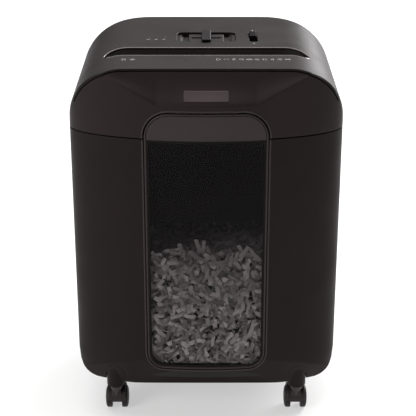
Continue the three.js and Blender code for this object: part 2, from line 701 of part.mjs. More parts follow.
const selectorSwitch = () =>
  box(-26, 26, 24, 38, 463, 473.7).subtract(box(-22, 22, 29, 33, 468, 480));

function lockTray() {
  const { left, right, front, back, floor } = LOCK;
  const outer = box(left - 3, right + 3, front - 3, back + 3, floor - 2, DECK_Z - COVER - GAP);
  return outer.subtract(box(left, right, front, back, floor, DECK_Z));
}

function lockKnob() {
  const { left, right, back, floor } = LOCK;
  const length = 24;
  let knob = box(left + 0.9, right - 0.9, back - 3 - length, back - 3, floor + GAP, DECK_Z + 2.5);
  for (let i = 0; i < 4; i += 1) {
    const y = back - 9 - i * 5;
    knob = knob.subtract(box(left, right, y, y + 1.6, DECK_Z + 1.4, DECK_Z + 4));
  }
  return knob;
}

// The switch that stops the motor when the bin is pulled out, open below for the bin's finger.
function binSwitch() {
  const { x, y, height } = BIN_SWITCH;
  const shell = box(x - 6, x + 6, y - 11, y + 11, FLOOR_TOP + GAP, FLOOR_TOP + height);
  return shell.subtract(box(x - 3, x + 3, y - 3, y + 3, FLOOR_TOP, FLOOR_TOP + height - 2));
}

function badge() {
  const plate = body(-0.9, 400, 470).subtract(body(-GAP, 390, 475));
  return plate.intersect(prism(roundedRect(-27, 27, 446.5, 457.5, 2), 'y', -160, -100));
}

function cordGland() {
  const { x, z, radius } = CORD;
  const inside = BACK_Y - SHELL;
  const flange = rod(radius + 5.1, 'y', inside - 2, inside - GAP, x, z, 10);
  const sleeve = rod(radius + 2.6, 'y', inside - 1, BACK_Y - 0.2, x, z, 10);
  return unite(flange, sleeve).subtract(rod(radius, 'y', inside - 7, BACK_Y + 1, x, z, 8));
}

// ---- bin ----------------------------------------------------------------------------------------

// The tub is wide above and narrow below, so that it passes between the front caster sockets.
function tubSection(inset) {
  const wide = 158 - inset;
  const keel = 105 - inset;
  const bottom = 62 + inset;
  const ledge = KEEL_TOP + inset;
  const top = inset > 0 ? 420 : 388;
  return [
    [-keel, bottom], [keel, bottom], [keel, ledge], [wide, ledge],
    [wide, top], [-wide, top], [-wide, ledge], [-keel, ledge],
  ];
}

function binTub() {
  const inset = SHELL + TUB_CLEARANCE;
  const outer = body(inset, 60, 420).intersect(prism(tubSection(0), 'y', -150, TUB_BACK));
  const cavity = body(inset + TUB_WALL, 60, 430)
    .intersect(prism(tubSection(TUB_WALL), 'y', -150, TUB_BACK - TUB_WALL));
  return outer.subtract(cavity).subtract(paneBlock(-1));
}

function socketBlock(side, margin) {
  const x = side * CASTER_X;
  const reach = SOCKET_RADIUS + margin;
  const shape = roundedRect(x - reach, x + reach, 30, SOCKET_TOP + margin, 0, SOCKET_RADIUS - 1);
  return prism(shape, 'y', -160, PART_Y + 4, 3);
}

function binFront() {
  const wall = body(0).subtract(body(SHELL, 40, 500));
  const front = wall.intersect(box(-200, 200, -200, PART_Y - GAP, BASE_Z, HEAD_Z));
  return front.subtract(
    unite(arch(PANEL_GAP, ARCH_BOTTOM - PANEL_GAP, 500), socketBlock(1, 0.4), socketBlock(-1, 0.4)));
}

function binBezel() {
  const band = straightFront(-1, BASE_Z, 470).subtract(body(SHELL, 40, 480));
  return band.intersect(arch(0)).subtract(paneBlock(0.5)).intersect(everywhere(0, ARCH_TOP));
}

const binWindow = () =>
  straightFront(0.4, 70, 440).subtract(straightFront(SHELL, 60, 450)).intersect(paneBlock(0));

// The heap leans against the window and falls away behind it.
const heapTop = (x, y) =>
  200 - 0.27 * y + 7 * Math.cos((x - 30) / 55) + 4 * Math.sin(x / 23 + y / 31);

// A loose heap of shreds with a lumpy top, hollow and open below, so that it is as light as shreds.
function paperHeap() {
  const inset = SHELL + TUB_CLEARANCE + TUB_WALL + 1;
  const back = TUB_BACK - TUB_WALL - 1;
  const columns = 10;
  const rows = 6;
  const position = new THREE.PlaneGeometry(340, 300, columns, rows).attributes.position;
  const filled = (margin, lowered) => {
    const levels = [];
    for (let i = 0; i < position.count; i += 1) {
      const x = position.getX(i);
      const y = position.getY(i);
      levels.push([x, y, heapTop(x, y) - lowered]);
    }
    return body(inset + margin, 50, 400)
      .intersect(prism(tubSection(TUB_WALL + 1 + margin), 'y', -150, back - margin))
      .intersect(surfaceBlock(levels, columns + 1, rows + 1));
  };
  const crust = filled(0, 0).subtract(filled(HEAP_CRUST, HEAP_CRUST));
  return crust.subtract(box(-90, 90, -110, 110, 50, 90));
}

// A block from the floor up to a grid of heights.
function surfaceBlock(points, across, down) {
  const positions = [];
  for (const [x, y, z] of points) positions.push(x, y, z);
  for (const [x, y] of points) positions.push(x, y, 10);
  const under = points.length;
  const index = [];
  for (let j = 0; j < down - 1; j += 1) {
    for (let i = 0; i < across - 1; i += 1) {
      const a = j * across + i;
      const c = a + across;
      index.push(a, c, a + 1, c, c + 1, a + 1);
      index.push(under + a, under + a + 1, under + c, under + c, under + a + 1, under + c + 1);
    }
  }
  const rim = [];
  for (let i = 0; i < across - 1; i += 1) rim.push(i);
  for (let j = 0; j < down - 1; j += 1) rim.push(j * across + across - 1);
  for (let i = across - 1; i > 0; i -= 1) rim.push((down - 1) * across + i);
  for (let j = down - 1; j > 0; j -= 1) rim.push(j * across);
  rim.forEach((a, i) => {
    const b = rim[(i + 1) % rim.length];
    index.push(a, b, under + a, b, under + b, under + a);
  });
  const geometry = new THREE.BufferGeometry();
  geometry.setAttribute('position', new THREE.Float32BufferAttribute(positions, 3));
  geometry.setIndex(index);
  return toSolid(geometry);
}

// ---- cabinet and casters ------------------------------------------------------------------------

const SOCKETS = [
  { name: 'front_left', x: -CASTER_X, y: -CASTER_Y },
  { name: 'front_right', x: CASTER_X, y: -CASTER_Y },
  { name: 'rear_left', x: -CASTER_X, y: CASTER_Y },
  { name: 'rear_right', x: CASTER_X, y: CASTER_Y },
];

function cabinet() {
  const wall = body(0).subtract(body(CABINET_WALL, BASE_Z + 5, 500));
  let shell = wall.intersect(box(-200, 200, PART_Y, 200, BASE_Z, HEAD_Z));
  const tray = body(SHELL + 2, BASE_Z).intersect(box(-134, 134, -112, PART_Y + 2, BASE_Z, BASE_Z + 6));
  shell = shell.add(tray);
  for (const { x, y } of SOCKETS) {
    const post = rod(SOCKET_RADIUS, 'z', SOCKET_Z, y < 0 ? SOCKET_TOP : BASE_Z + 4, x, y, 14);
    const boss = y < 0 ? post.intersect(socketBlock(Math.sign(x), 0)) : post;
    const bore = rod(PIN_RADIUS + 0.4, 'z', SOCKET_Z - 1, SOCKET_Z + 13, x, y, 8);
    shell = shell.add(boss).subtract(bore);
  }
  return shell;
}

// Swivel fork of a twin-wheel caster: a middle web, a hood over both wheels and a stem.
function casterHood(x, y) {
  const axle = y + TRAIL;
  const web = rod(8.5, 'x', x - 6.2, x + 6.2, axle, WHEEL_RADIUS, 8);
  const outline = [];
  const steps = 6;
  const angle = (i) => Math.PI * (0.94 - (0.88 * i) / steps);
  for (let i = 0; i <= steps; i += 1) {
    outline.push([axle + HOOD_OUT * Math.cos(angle(i)), WHEEL_RADIUS + HOOD_OUT * Math.sin(angle(i))]);
  }
  for (let i = steps; i >= 0; i -= 1) {
    outline.push([axle + HOOD_IN * Math.cos(angle(i)), WHEEL_RADIUS + HOOD_IN * Math.sin(angle(i))]);
  }
  const hood = prism(outline.reverse(), 'x', x - HOOD_HALF, x + HOOD_HALF);
  const arm = box(x - 6.2, x + 6.2, axle - 16.6, axle + 6, WHEEL_RADIUS + 5, WHEEL_RADIUS + 17.5);
  const collar = rod(2.5, 'z', 24, SOCKET_Z - GAP, x, y, 10, 9.6);
  const pin = rod(PIN_RADIUS, 'z', SOCKET_Z - 4, SOCKET_Z + 12, x, y, 8);
  const bore = rod(AXLE_RADIUS + GAP, 'x', x - 20, x + 20, axle, WHEEL_RADIUS, 8);
  return unite(web, hood, arm, collar, pin).subtract(bore);
}

const casterAxle = (x, y) =>
  rod(AXLE_RADIUS, 'x', x - WHEEL_OUT + 1, x + WHEEL_OUT - 1, y + TRAIL, WHEEL_RADIUS, 10);

// One wheel: a flat tread and a domed outer face.
function casterWheel(x, y, side) {
  const corner = WHEEL_RADIUS / Math.cos(Math.PI / WHEEL_SIDES);
  const bore = AXLE_RADIUS + GAP;
  const profile = [[bore, TREAD_IN], [corner, TREAD_IN], [corner, TREAD_OUT],
    [corner - 3.4, WHEEL_OUT - 1], [7, WHEEL_OUT], [bore, WHEEL_OUT]];
  const points = profile.map(([radius, reach]) => [radius, x + side * reach]);
  return turned(side > 0 ? points : points.reverse(), y + TRAIL, WHEEL_RADIUS, WHEEL_SIDES);
}

// ---- the assembly -------------------------------------------------------------------------------

const shredder = new THREE.Group();

function place(name, solid, finish, parent = shredder) {
  const mesh = new THREE.Mesh(toGeometry(solid), finish);
  mesh.name = name;
  parent.add(mesh);
}

const head = new THREE.Group();
const bin = new THREE.Group();
const underside = new THREE.Group();
shredder.add(head, bin, underside);

place('cabinet', cabinet(), SHELL_BLACK);

place('head_base', headBase(), INNER_BLACK, head);
place('head_casing', headCasing(), SHELL_BLACK, head);
place('top_cover', topCover(), COVER_BLACK, head);
place('badge', badge(), PLATE_GREY, head);
place('throat_front_guide', frontGuide(), TRIM_BLACK, head);
place('throat_rear_guide', rearGuide(), TRIM_BLACK, head);
place('switch_tray', switchTray(), COVER_BLACK, head);
place('selector_switch', selectorSwitch(), INNER_BLACK, head);
place('selector_knob', selectorKnob(), TRIM_BLACK, head);
place('lock_tray', lockTray(), TRIM_BLACK, head);
place('lock_knob', lockKnob(), TRIM_BLACK, head);
LED_XS.forEach((x, i) => place(`led_lens_${i + 1}`, ledLens(x), SMOKED, head));
place('control_board', controlBoard(), BOARD_GREEN, head);
place('capacitor', capacitor(), PLATE_GREY, head);
place('capacitor_clip', capacitorClip(), NYLON, head);
place('bin_switch', binSwitch(), INNER_BLACK, head);
place('cord_gland', cordGland(), RUBBER, head);

const train = gearTrain();
place('frame_plate_left', framePlate(-PLATE_X - PLATE_WIDTH), STEEL, head);
place('frame_plate_right', framePlate(PLATE_X), STEEL, head);
place('tie_rod_front', tieRod(TIE_FRONT), STEEL, head);
place('tie_rod_rear', tieRod(TIE_REAR), STEEL, head);
place('front_stripper', stripper(FRONT_AXIS_Y, -105, 22, -1), NYLON, head);
place('rear_stripper', stripper(REAR_AXIS_Y, -100, 21, 1), NYLON, head);
place('front_cutter', cutter(FRONT_AXIS_Y, 23), HARD_STEEL, head);
place('rear_cutter', cutter(REAR_AXIS_Y, 22), HARD_STEEL, head);
place('front_cutter_gear', train.frontGear, HARD_STEEL, head);
place('rear_cutter_gear', train.rearGear, HARD_STEEL, head);
place('idler_gear', train.idler, NYLON, head);
place('idler_pin', idlerPin(), STEEL, head);
place('motor_pinion', train.pinion, HARD_STEEL, head);
place('motor', motor(), STEEL, head);
place('gear_cover', gearCover(), INNER_BLACK, head);
for (const [end, side] of [['left', -1], ['right', 1]]) {
  place(`front_bushing_${end}`, bushing(FRONT_AXIS_Y, side), BRONZE, head);
  place(`rear_bushing_${end}`, bushing(REAR_AXIS_Y, side), BRONZE, head);
}

place('bin_tub', binTub(), INNER_BLACK, bin);
place('bin_front', binFront(), SHELL_BLACK, bin);
place('bin_bezel', binBezel(), BEZEL_BLACK, bin);
place('bin_window', binWindow(), SMOKED, bin);
place('paper_shreds', paperHeap(), PAPER, bin);

for (const { name, x, y } of SOCKETS) {
  place(`caster_${name}_hood`, casterHood(x, y), BEZEL_BLACK, underside);
  place(`caster_${name}_axle`, casterAxle(x, y), STEEL, underside);
  place(`caster_${name}_wheel_left`, casterWheel(x, y, -1), RUBBER, underside);
  place(`caster_${name}_wheel_right`, casterWheel(x, y, 1), RUBBER, underside);
}

export default shredder;
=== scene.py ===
import math
import random

import bmesh
import bpy
from mathutils import Matrix, Vector


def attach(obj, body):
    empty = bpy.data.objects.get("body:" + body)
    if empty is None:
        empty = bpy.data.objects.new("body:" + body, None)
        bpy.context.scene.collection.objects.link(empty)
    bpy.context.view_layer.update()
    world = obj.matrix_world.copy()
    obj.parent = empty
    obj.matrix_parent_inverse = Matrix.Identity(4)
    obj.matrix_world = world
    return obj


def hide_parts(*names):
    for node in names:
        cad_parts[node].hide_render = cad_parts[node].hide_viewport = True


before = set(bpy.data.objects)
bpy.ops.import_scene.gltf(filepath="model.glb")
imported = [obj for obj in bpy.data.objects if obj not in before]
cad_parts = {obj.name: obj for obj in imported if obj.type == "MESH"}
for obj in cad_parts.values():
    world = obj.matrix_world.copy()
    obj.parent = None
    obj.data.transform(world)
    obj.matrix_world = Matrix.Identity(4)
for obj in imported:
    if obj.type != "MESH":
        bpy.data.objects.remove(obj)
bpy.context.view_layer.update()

MM = 0.001

# ---- driving dimensions, in millimetres, shared with the CAD model ----

HALF_WIDTH = 170.0
FRONT_Y = -141.0
BACK_Y = 142.0
BASE_Z = 52.0
DECK_Z = 482.0
NOSE_DEPTH = 60.0
CROWN_X = 102.0
CROWN_DROP = 75.0
SHOULDER_Z = DECK_Z - CROWN_DROP
SCOOP_Z, SCOOP_HALF, SCOOP_END, SCOOP_DEPTH = 441.0, 60.0, 128.0, 23.0
TUCK_Z, LIP_HEIGHT, TOE_Y, TOE_HALF = 97.0, 11.0, -120.0, 100.0
CREASE_DROP, CREASE_REACH = 21.0, 145.0
FOOT_HEIGHT, FOOT_WIDTH = 40.0, 30.0
BACK_RADIUS = 30.0
BACK_EDGE = 4.0
SHELL = 3.0
CABINET_WALL = 3.2
COVER = 2.6
COVER_SIDE_Z = 436.0
HEAD_Z = 398.0
SEAM = 1.2
PART_Y = -78.0
ARCH_HALF, ARCH_BOTTOM, ARCH_TOP = 75.4, 85.0, 431.8
ARCH_LOWER_RADIUS, ARCH_UPPER_RADIUS = 21.0, 30.5
HEAD_GAP, PANEL_GAP = 1.6, 0.9
PANE_HALF, PANE_BOTTOM, PANE_TOP, PANE_RADIUS = 72.5, 88.0, 397.2, 18.0
MOUTH_HALF, MOUTH_Y, MOUTH_WIDTH = 127.0, -41.0, 34.0
MOUTH_FRONT_RADIUS, MOUTH_BACK_X, MOUTH_BACK_Y = 8.0, 33.0, 25.0
THROAT_HALF, THROAT_WIDTH, THROAT_Z = 117.0, 8.0, 452.0
TROUGH_HALF, TROUGH_FRONT, TROUGH_BACK, TROUGH_DEPTH = 38.0, 8.0, 54.0, 6.0
LOCK_LEFT, LOCK_RIGHT, LOCK_FRONT, LOCK_BACK = 55.6, 66.4, 6.0, 55.0
LED_XS, LED_Y, LED_RADIUS = (-74.9, -64.9, -54.9), 23.0, 1.6
KNOB_TOP = 486.0
CASTER_X, CASTER_Y, TRAIL = 120.3, 106.0, 15.0
WHEEL_RADIUS, WHEEL_OUT, HOOD_OUT, HOOD_IN, HOOD_HALF = 15.0, 15.4, 19.0, 17.2, 12.0
SOCKET_Z, SOCKET_TOP, SOCKET_RADIUS, SOCKET_ARCH = 43.0, 78.0, 12.0, 11.0
CORD_X, CORD_Z = 110.0, 420.0
DECK_ROUNDING = 1.5
SCOOP_ROUNDING = 1.4
LINER_Z = 472.0
HEAP_MID = 200.0

# Planes and heights well clear of the walls that a cutting tool passes through.
OUT = 200.0
AHEAD, BEHIND = -170.0, -90.0
ABOVE_DECK, BELOW_DECK = 500.0, 440.0
ABOVE_SEAM, BELOW_BASE = 470.0, 30.0

# ---- camera and light ----


def linked(name, data):
    """A new object in the scene."""
    obj = bpy.data.objects.new(name, data)
    bpy.context.scene.collection.objects.link(obj)
    return obj


def add_camera():
    data = bpy.data.cameras.new("camera")
    data.lens = 107.58
    data.sensor_width = 36.0
    data.shift_x = 0.0042
    data.clip_end = 60.0
    camera = linked("camera", data)
    camera.location = (0.0, -1.5519, 0.8967)
    camera.rotation_euler = (math.radians(67.47), 0.0, 0.0)
    bpy.context.scene.camera = camera


def add_softbox(name, location, target, width, height, watts):
    data = bpy.data.lights.new(name, "AREA")
    data.shape = "RECTANGLE"
    data.size = width
    data.size_y = height
    data.energy = watts
    light = linked(name, data)
    light.location = location
    aim = Vector(target) - Vector(location)
    light.rotation_euler = aim.to_track_quat("-Z", "Y").to_euler()


def add_studio():
    world = bpy.data.worlds.new("studio")
    bpy.context.scene.world = world
    world.use_nodes = True
    background = world.node_tree.nodes["Background"]
    background.inputs["Color"].default_value = (1.0, 0.985, 0.98, 1.0)
    background.inputs["Strength"].default_value = 0.22
    bpy.context.scene.view_settings.view_transform = "Standard"
    add_softbox("overhead", (0.0, 1.1, 3.0), (0.0, 0.3, 0.0), 5.0, 3.8, 250.0)
    add_softbox("back_right", (2.2, 2.6, 1.7), (0.0, 0.0, 0.45), 1.8, 1.2, 160.0)
    add_softbox("front_left", (-2.2, -2.2, 1.6), (0.0, 0.0, 0.3), 1.4, 1.8, 60.0)
    floor = mesh_object("floor", *grid_plane(12000.0, 12))
    floor.data.materials.append(lit_floor())


# ---- materials ----


def node_material(name):
    made = bpy.data.materials.new(name)
    made.use_nodes = True
    nodes, links = made.node_tree.nodes, made.node_tree.links
    shader = nodes["Principled BSDF"]
    place = nodes.new("ShaderNodeTexCoord").outputs["Object"]
    return made, nodes, links, shader, place


def noise_at(nodes, links, place, scale, detail, stretch=None):
    texture = nodes.new("ShaderNodeTexNoise")
    texture.inputs["Scale"].default_value = scale
    texture.inputs["Detail"].default_value = detail
    if stretch:
        mapping = nodes.new("ShaderNodeMapping")
        mapping.inputs["Scale"].default_value = stretch
        links.new(place, mapping.inputs["Vector"])
        place = mapping.outputs["Vector"]
    links.new(place, texture.inputs["Vector"])
    return texture.outputs["Fac"]


def ranged(nodes, links, value, low, high):
    spread = nodes.new("ShaderNodeMapRange")
    for end, number in (("From Min", 0.3), ("From Max", 0.7), ("To Min", low), ("To Max", high)):
        spread.inputs[end].default_value = number
    links.new(value, spread.inputs["Value"])
    return spread.outputs["Result"]


def toned(nodes, links, value, colour, variation):
    """A colour that drifts a little lighter and darker."""
    ramp = nodes.new("ShaderNodeValToRGB")
    ramp.color_ramp.elements[0].position = 0.3
    ramp.color_ramp.elements[1].position = 0.7
    for element, gain in zip(ramp.color_ramp.elements, (1.0 - variation, 1.0 + variation)):
        element.color = (*[min(1.0, part * gain) for part in colour], 1.0)
    links.new(value, ramp.inputs["Fac"])
    return ramp.outputs["Color"]


def bumped(nodes, links, value, shader, distance):
    bump = nodes.new("ShaderNodeBump")
    bump.inputs["Distance"].default_value = distance
    links.new(value, bump.inputs["Height"])
    links.new(bump.outputs["Normal"], shader.inputs["Normal"])


def matte(name, colour, roughness, grain, variation, depth=0.00004, specular=0.5):
    """Moulded plastic: a fine spark-eroded grain, and slow drifts of tone and gloss."""
    made, nodes, links, shader, place = node_material(name)
    drift = noise_at(nodes, links, place, 9.0, 4.0)
    links.new(toned(nodes, links, drift, colour, variation), shader.inputs["Base Color"])
    handled = noise_at(nodes, links, place, 26.0, 5.0)
    links.new(ranged(nodes, links, handled, roughness - 0.05, roughness + 0.05), shader.inputs["Roughness"])
    shader.inputs["Specular IOR Level"].default_value = specular
    shader.inputs["Specular Tint"].default_value = (1.0, 0.86, 0.87, 1.0)
    bumped(nodes, links, noise_at(nodes, links, place, grain, 2.0), shader, depth)
    return made


def brushed(name, colour, roughness, along):
    """Drawn or rolled metal, with fine lines along one axis."""
    made, nodes, links, shader, place = node_material(name)
    lines = noise_at(nodes, links, place, 90.0, 4.0, along)
    links.new(toned(nodes, links, lines, colour, 0.22), shader.inputs["Base Color"])
    links.new(ranged(nodes, links, lines, roughness - 0.08, roughness + 0.12), shader.inputs["Roughness"])
    shader.inputs["Metallic"].default_value = 1.0
    bumped(nodes, links, lines, shader, 0.00005)
    return made


def lit_floor():
    """A white sweep with a little light of its own, as over a light table."""
    made = matte("floor_white", (0.36, 0.358, 0.356), 0.9, 40.0, 0.01)
    shader = made.node_tree.nodes["Principled BSDF"]
    shader.inputs["Emission Color"].default_value = (1.0, 1.0, 1.0, 1.0)
    shader.inputs["Emission Strength"].default_value = 0.5
    return made


def smoked():
    """A tinted clear pane. Its gloss is a shade uneven, as moulded acrylic is."""
    made, nodes, links, shader, place = node_material("smoked_pane")
    drift = noise_at(nodes, links, place, 14.0, 2.0)
    links.new(toned(nodes, links, drift, (0.006, 0.005, 0.0055), 0.2), shader.inputs["Base Color"])
    links.new(ranged(nodes, links, drift, 0.09, 0.14), shader.inputs["Roughness"])
    shader.inputs["Alpha"].default_value = 0.3
    shader.inputs["Specular IOR Level"].default_value = 0.14
    return made


def shredded():
    """Paper strips in several greys, with painted shade: each strip's grey is set lighter low in the window,
    where the light reaches them, and darker above and on top of the heap.
    """
    made, nodes, links, shader, place = node_material("shredded_paper")
    sheet = nodes.new("ShaderNodeAttribute")
    sheet.attribute_name = "grey_and_painted_shade"
    ramp = nodes.new("ShaderNodeValToRGB")
    ramp.color_ramp.elements[0].color = (0.14, 0.122, 0.124, 1.0)
    ramp.color_ramp.elements[1].color = (0.8, 0.72, 0.72, 1.0)
    links.new(sheet.outputs["Fac"], ramp.inputs["Fac"])
    links.new(ramp.outputs["Color"], shader.inputs["Base Color"])
    fibres = noise_at(nodes, links, place, 1500.0, 3.0)
    links.new(ranged(nodes, links, fibres, 0.78, 0.95), shader.inputs["Roughness"])
    bumped(nodes, links, fibres, shader, 0.00003)
    return made


# ---- mesh helpers ----


def mesh_object(name, points, faces):
    mesh = bpy.data.meshes.new(name)
    mesh.from_pydata([(x * MM, y * MM, z * MM) for x, y, z in points], [], faces)
    bm = bmesh.new()
    bm.from_mesh(mesh)
    bmesh.ops.recalc_face_normals(bm, faces=bm.faces)
    bm.to_mesh(mesh)
    bm.free()
    return linked(name, mesh)


def from_bmesh(name, bm):
    mesh = bpy.data.meshes.new(name)
    bm.to_mesh(mesh)
    bm.free()
    return linked(name, mesh)


def grid_plane(reach, steps):
    side = steps + 1
    spot = lambda i: -reach / 2 + reach * i / steps
    points = [(spot(i), spot(j), 0.0) for j in range(side) for i in range(side)]
    faces = [(j * side + i, j * side + i + 1, (j + 1) * side + i + 1, (j + 1) * side + i)
             for j in range(steps) for i in range(steps)]
    return points, faces


def joined_rings(name, rings, closed_path=False):
    """A skin through rings of the same number of points, capped unless its path is closed."""
    count = len(rings[0])
    points = [point for ring in rings for point in ring]
    faces = []
    turns = len(rings) if closed_path else len(rings) - 1
    for k in range(turns):
        low, high = k * count, ((k + 1) % len(rings)) * count
        for i in range(count):
            j = (i + 1) % count
            faces.append((low + i, low + j, high + j, high + i))
    if not closed_path:
        faces.append(tuple(range(count))[::-1])
        faces.append(tuple(range(len(points) - count, len(points))))
    return mesh_object(name, points, faces)


def block(name, x0, x1, y0, y1, z0, z1, radius=0.0, segments=3):
    bm = bmesh.new()
    bmesh.ops.create_cube(bm, size=1.0)
    size = Matrix.Diagonal(((x1 - x0) * MM, (y1 - y0) * MM, (z1 - z0) * MM, 1.0))
    middle = Matrix.Translation(((x0 + x1) / 2 * MM, (y0 + y1) / 2 * MM, (z0 + z1) / 2 * MM))
    bmesh.ops.transform(bm, matrix=middle @ size, verts=bm.verts)
    if radius > 0:
        bmesh.ops.bevel(bm, geom=bm.edges, offset=radius * MM, segments=segments, affect="EDGES", profile=0.5)
    return from_bmesh(name, bm)


def circle(x, y, z, radius, sides):
    """A level ring of points."""
    turn = [2 * math.pi * k / sides for k in range(sides)]
    return [(x + radius * math.cos(a), y + radius * math.sin(a), z) for a in turn]


def point_about(axis, centre, profile_point, angle):
    """A point at a radius and a distance along an axis through a centre, turned by an angle."""
    radius, along = profile_point
    a, b = radius * math.cos(angle), radius * math.sin(angle)
    offset = {"x": (along, a, b), "y": (a, along, b), "z": (a, b, along)}[axis]
    return tuple(c + o for c, o in zip(centre, offset))


def turned(name, profile, axis, centre, sides):
    """A closed profile of (radius, position along the axis) turned about an axis through a centre."""
    angles = [2 * math.pi * k / sides for k in range(sides)]
    rings = [[point_about(axis, centre, point, angle) for point in profile] for angle in angles]
    return joined_rings(name, rings, closed_path=True)


def rod(name, radius, axis, start, end, centre, sides=32, edge=0.0):
    """A solid round bar along one axis through a centre. An edge above 0 softens its ends."""
    profile = [(radius, start + edge), (radius, end - edge)]
    if edge > 0:
        profile = [(radius - edge, start), *profile, (radius - edge, end)]
    angles = [2 * math.pi * k / sides for k in range(sides)]
    rings = [[point_about(axis, centre, point, angle) for angle in angles] for point in profile]
    return joined_rings(name, rings)


def applied(obj):
    graph = bpy.context.evaluated_depsgraph_get()
    mesh = bpy.data.meshes.new_from_object(obj.evaluated_get(graph))
    obj.modifiers.clear()
    old, obj.data = obj.data, mesh
    bpy.data.meshes.remove(old)
    return obj


def combined(obj, others, operation):
    for other in others:
        step = obj.modifiers.new("step", "BOOLEAN")
        step.solver = "MANIFOLD"
        step.operation = operation
        step.object = other
    applied(obj)
    for other in others:
        bpy.data.objects.remove(other)
    return obj


def cut(obj, *others):
    return combined(obj, others, "DIFFERENCE")


def kept(obj, *others):
    return combined(obj, others, "INTERSECT")


def fused(obj, *others):
    return combined(obj, others, "UNION")


def finished(obj, body, finish, replaces=(), angle=32.0, weighted=True):
    """Shading, material, the body it rides on, and the CAD nodes that it stands for."""
    bm = bmesh.new()
    bm.from_mesh(obj.data)
    bmesh.ops.remove_doubles(bm, verts=bm.verts, dist=0.000002)
    bmesh.ops.dissolve_degenerate(bm, edges=bm.edges, dist=0.000002)
    bm.to_mesh(obj.data)
    bm.free()
    for polygon in obj.data.polygons:
        polygon.use_smooth = True
    obj.data.set_sharp_from_angle(angle=math.radians(angle))
    if weighted:
        shading = obj.modifiers.new("shading", "WEIGHTED_NORMAL")
        shading.keep_sharp = True
    obj.data.materials.clear()
    obj.data.materials.append(FINISH[finish])
    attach(obj, body)
    if replaces:
        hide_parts(*replaces)
    return obj


# ---- the outer form ----


def half_width(z, inset=0.0):
    """Half the body's width: a quarter ellipse above the shoulder and another at the foot."""
    if z > SHOULDER_Z:
        rise = min(1.0, (z - SHOULDER_Z) / (CROWN_DROP - inset))
        return CROWN_X + (HALF_WIDTH - CROWN_X - inset) * math.sqrt(1 - rise * rise)
    foot = BASE_Z + FOOT_HEIGHT
    if z < foot:
        drop = min(1.0, (foot - z) / (FOOT_HEIGHT - inset))
        return HALF_WIDTH - FOOT_WIDTH + (FOOT_WIDTH - inset) * math.sqrt(1 - drop * drop)
    return HALF_WIDTH - inset


def crown_z(x):
    """Height of the deck: level in the middle, curving down to the shoulders."""
    beyond = min(1.0, max(0.0, abs(x) - CROWN_X) / (HALF_WIDTH - CROWN_X))
    return SHOULDER_Z + CROWN_DROP * math.sqrt(1 - beyond * beyond)


def crown_gap(x, z):
    """Distance below the curve of the deck, for points above the shoulders."""
    if z <= SHOULDER_Z:
        return math.inf
    a = max(0.0, abs(x) - CROWN_X)
    b = z - SHOULDER_Z
    share = math.hypot(a / (HALF_WIDTH - CROWN_X), b / CROWN_DROP)
    return max(0.0, (1 - share) * math.hypot(a, b) / max(share, 0.01))


def crease_z(x):
    """Height at which the lower front starts to tuck under."""
    return TUCK_Z - CREASE_DROP * (abs(x) / CREASE_REACH) ** 3


def lip_z(x):
    """Top of the upright lip along the bottom edge."""
    return BASE_Z + LIP_HEIGHT * max(0.06, 1 - (x / (TOE_HALF + 5.0)) ** 2)


def bow(x):
    """How far the bowed front falls back from its foremost line."""
    across = min(1.0, abs(x) / HALF_WIDTH)
    return NOSE_DEPTH * (1 - math.sqrt(1 - across * across))


def tuck(x, z):
    """How far the lower front is tucked under, down to a lip that is nearly upright."""
    crease, lip = crease_z(x), lip_z(x)
    if z >= crease:
        return 0.0
    beyond, slope, softness = abs(x) - TOE_HALF, 0.2, 10.0
    toe = TOE_Y + slope * (math.hypot(beyond, softness) + beyond)
    depth = max(3.0, toe - FRONT_Y - bow(x))
    if z <= lip:
        return depth - 1.0 * (z - BASE_Z) / (lip - BASE_Z)
    return (depth - 1.0) * (crease - z) / (crease - lip)


def scoop_z(x):
    """Lower line of the hollow under the deck: level in the middle, rising to the deck's curve."""
    side = min(1.0, max(0.0, abs(x) - SCOOP_HALF) / (SCOOP_END - SCOOP_HALF))
    return SCOOP_Z + (crown_z(SCOOP_END) - SCOOP_Z) * side


def scoop(x, z):
    """Depth of the hollow under the deck. It starts softly and is upright where it meets the deck."""
    start, crown = scoop_z(x), crown_z(x)
    if z <= start or crown <= start:
        return 0.0
    side = max(0.0, abs(x) - SCOOP_HALF) / (SCOOP_END - SCOOP_HALF)
    rise = min(1.0, (z - start) / (crown - start))
    deepest = max(0.0, SCOOP_DEPTH + (bow(SCOOP_END) - SCOOP_DEPTH) * side ** 3 - bow(x))
    soft = 0.14
    return deepest * (1 - (1 - rise) ** 2) * rise * (1 + soft) / (rise + soft)


def bowed_y(x, _z, inset):
    """The bow alone, the same at every height: the form of the bezel and the pane."""
    return FRONT_Y + bow(x) + inset


def front_y(x, z, inset=0.0):
    """The finished front, with its hollow and its tuck."""
    return FRONT_Y + bow(x) + scoop(x, z) + tuck(x, max(z, BASE_Z)) + inset


def shell_y(x, z, inset):
    """The front of the lofted form, before the hollow is cut: it rounds over into the deck."""
    gap, edge = crown_gap(x, z), DECK_ROUNDING
    rounding = edge - math.sqrt(edge * edge - (edge - gap) ** 2) if gap < edge else 0.0
    return FRONT_Y + bow(x) + tuck(x, max(z, BASE_Z)) + rounding + inset


def back_y(z, inset):
    """The flat back, with its upper edge rounded over."""
    over = max(0.0, z - (DECK_Z - BACK_EDGE))
    radius = BACK_EDGE - min(inset, BACK_EDGE - 1)
    reach = math.sqrt(max(0.0, radius * radius - over * over)) if over > 0 else radius
    return BACK_Y - BACK_EDGE + reach - max(0.0, inset - BACK_EDGE + 1)


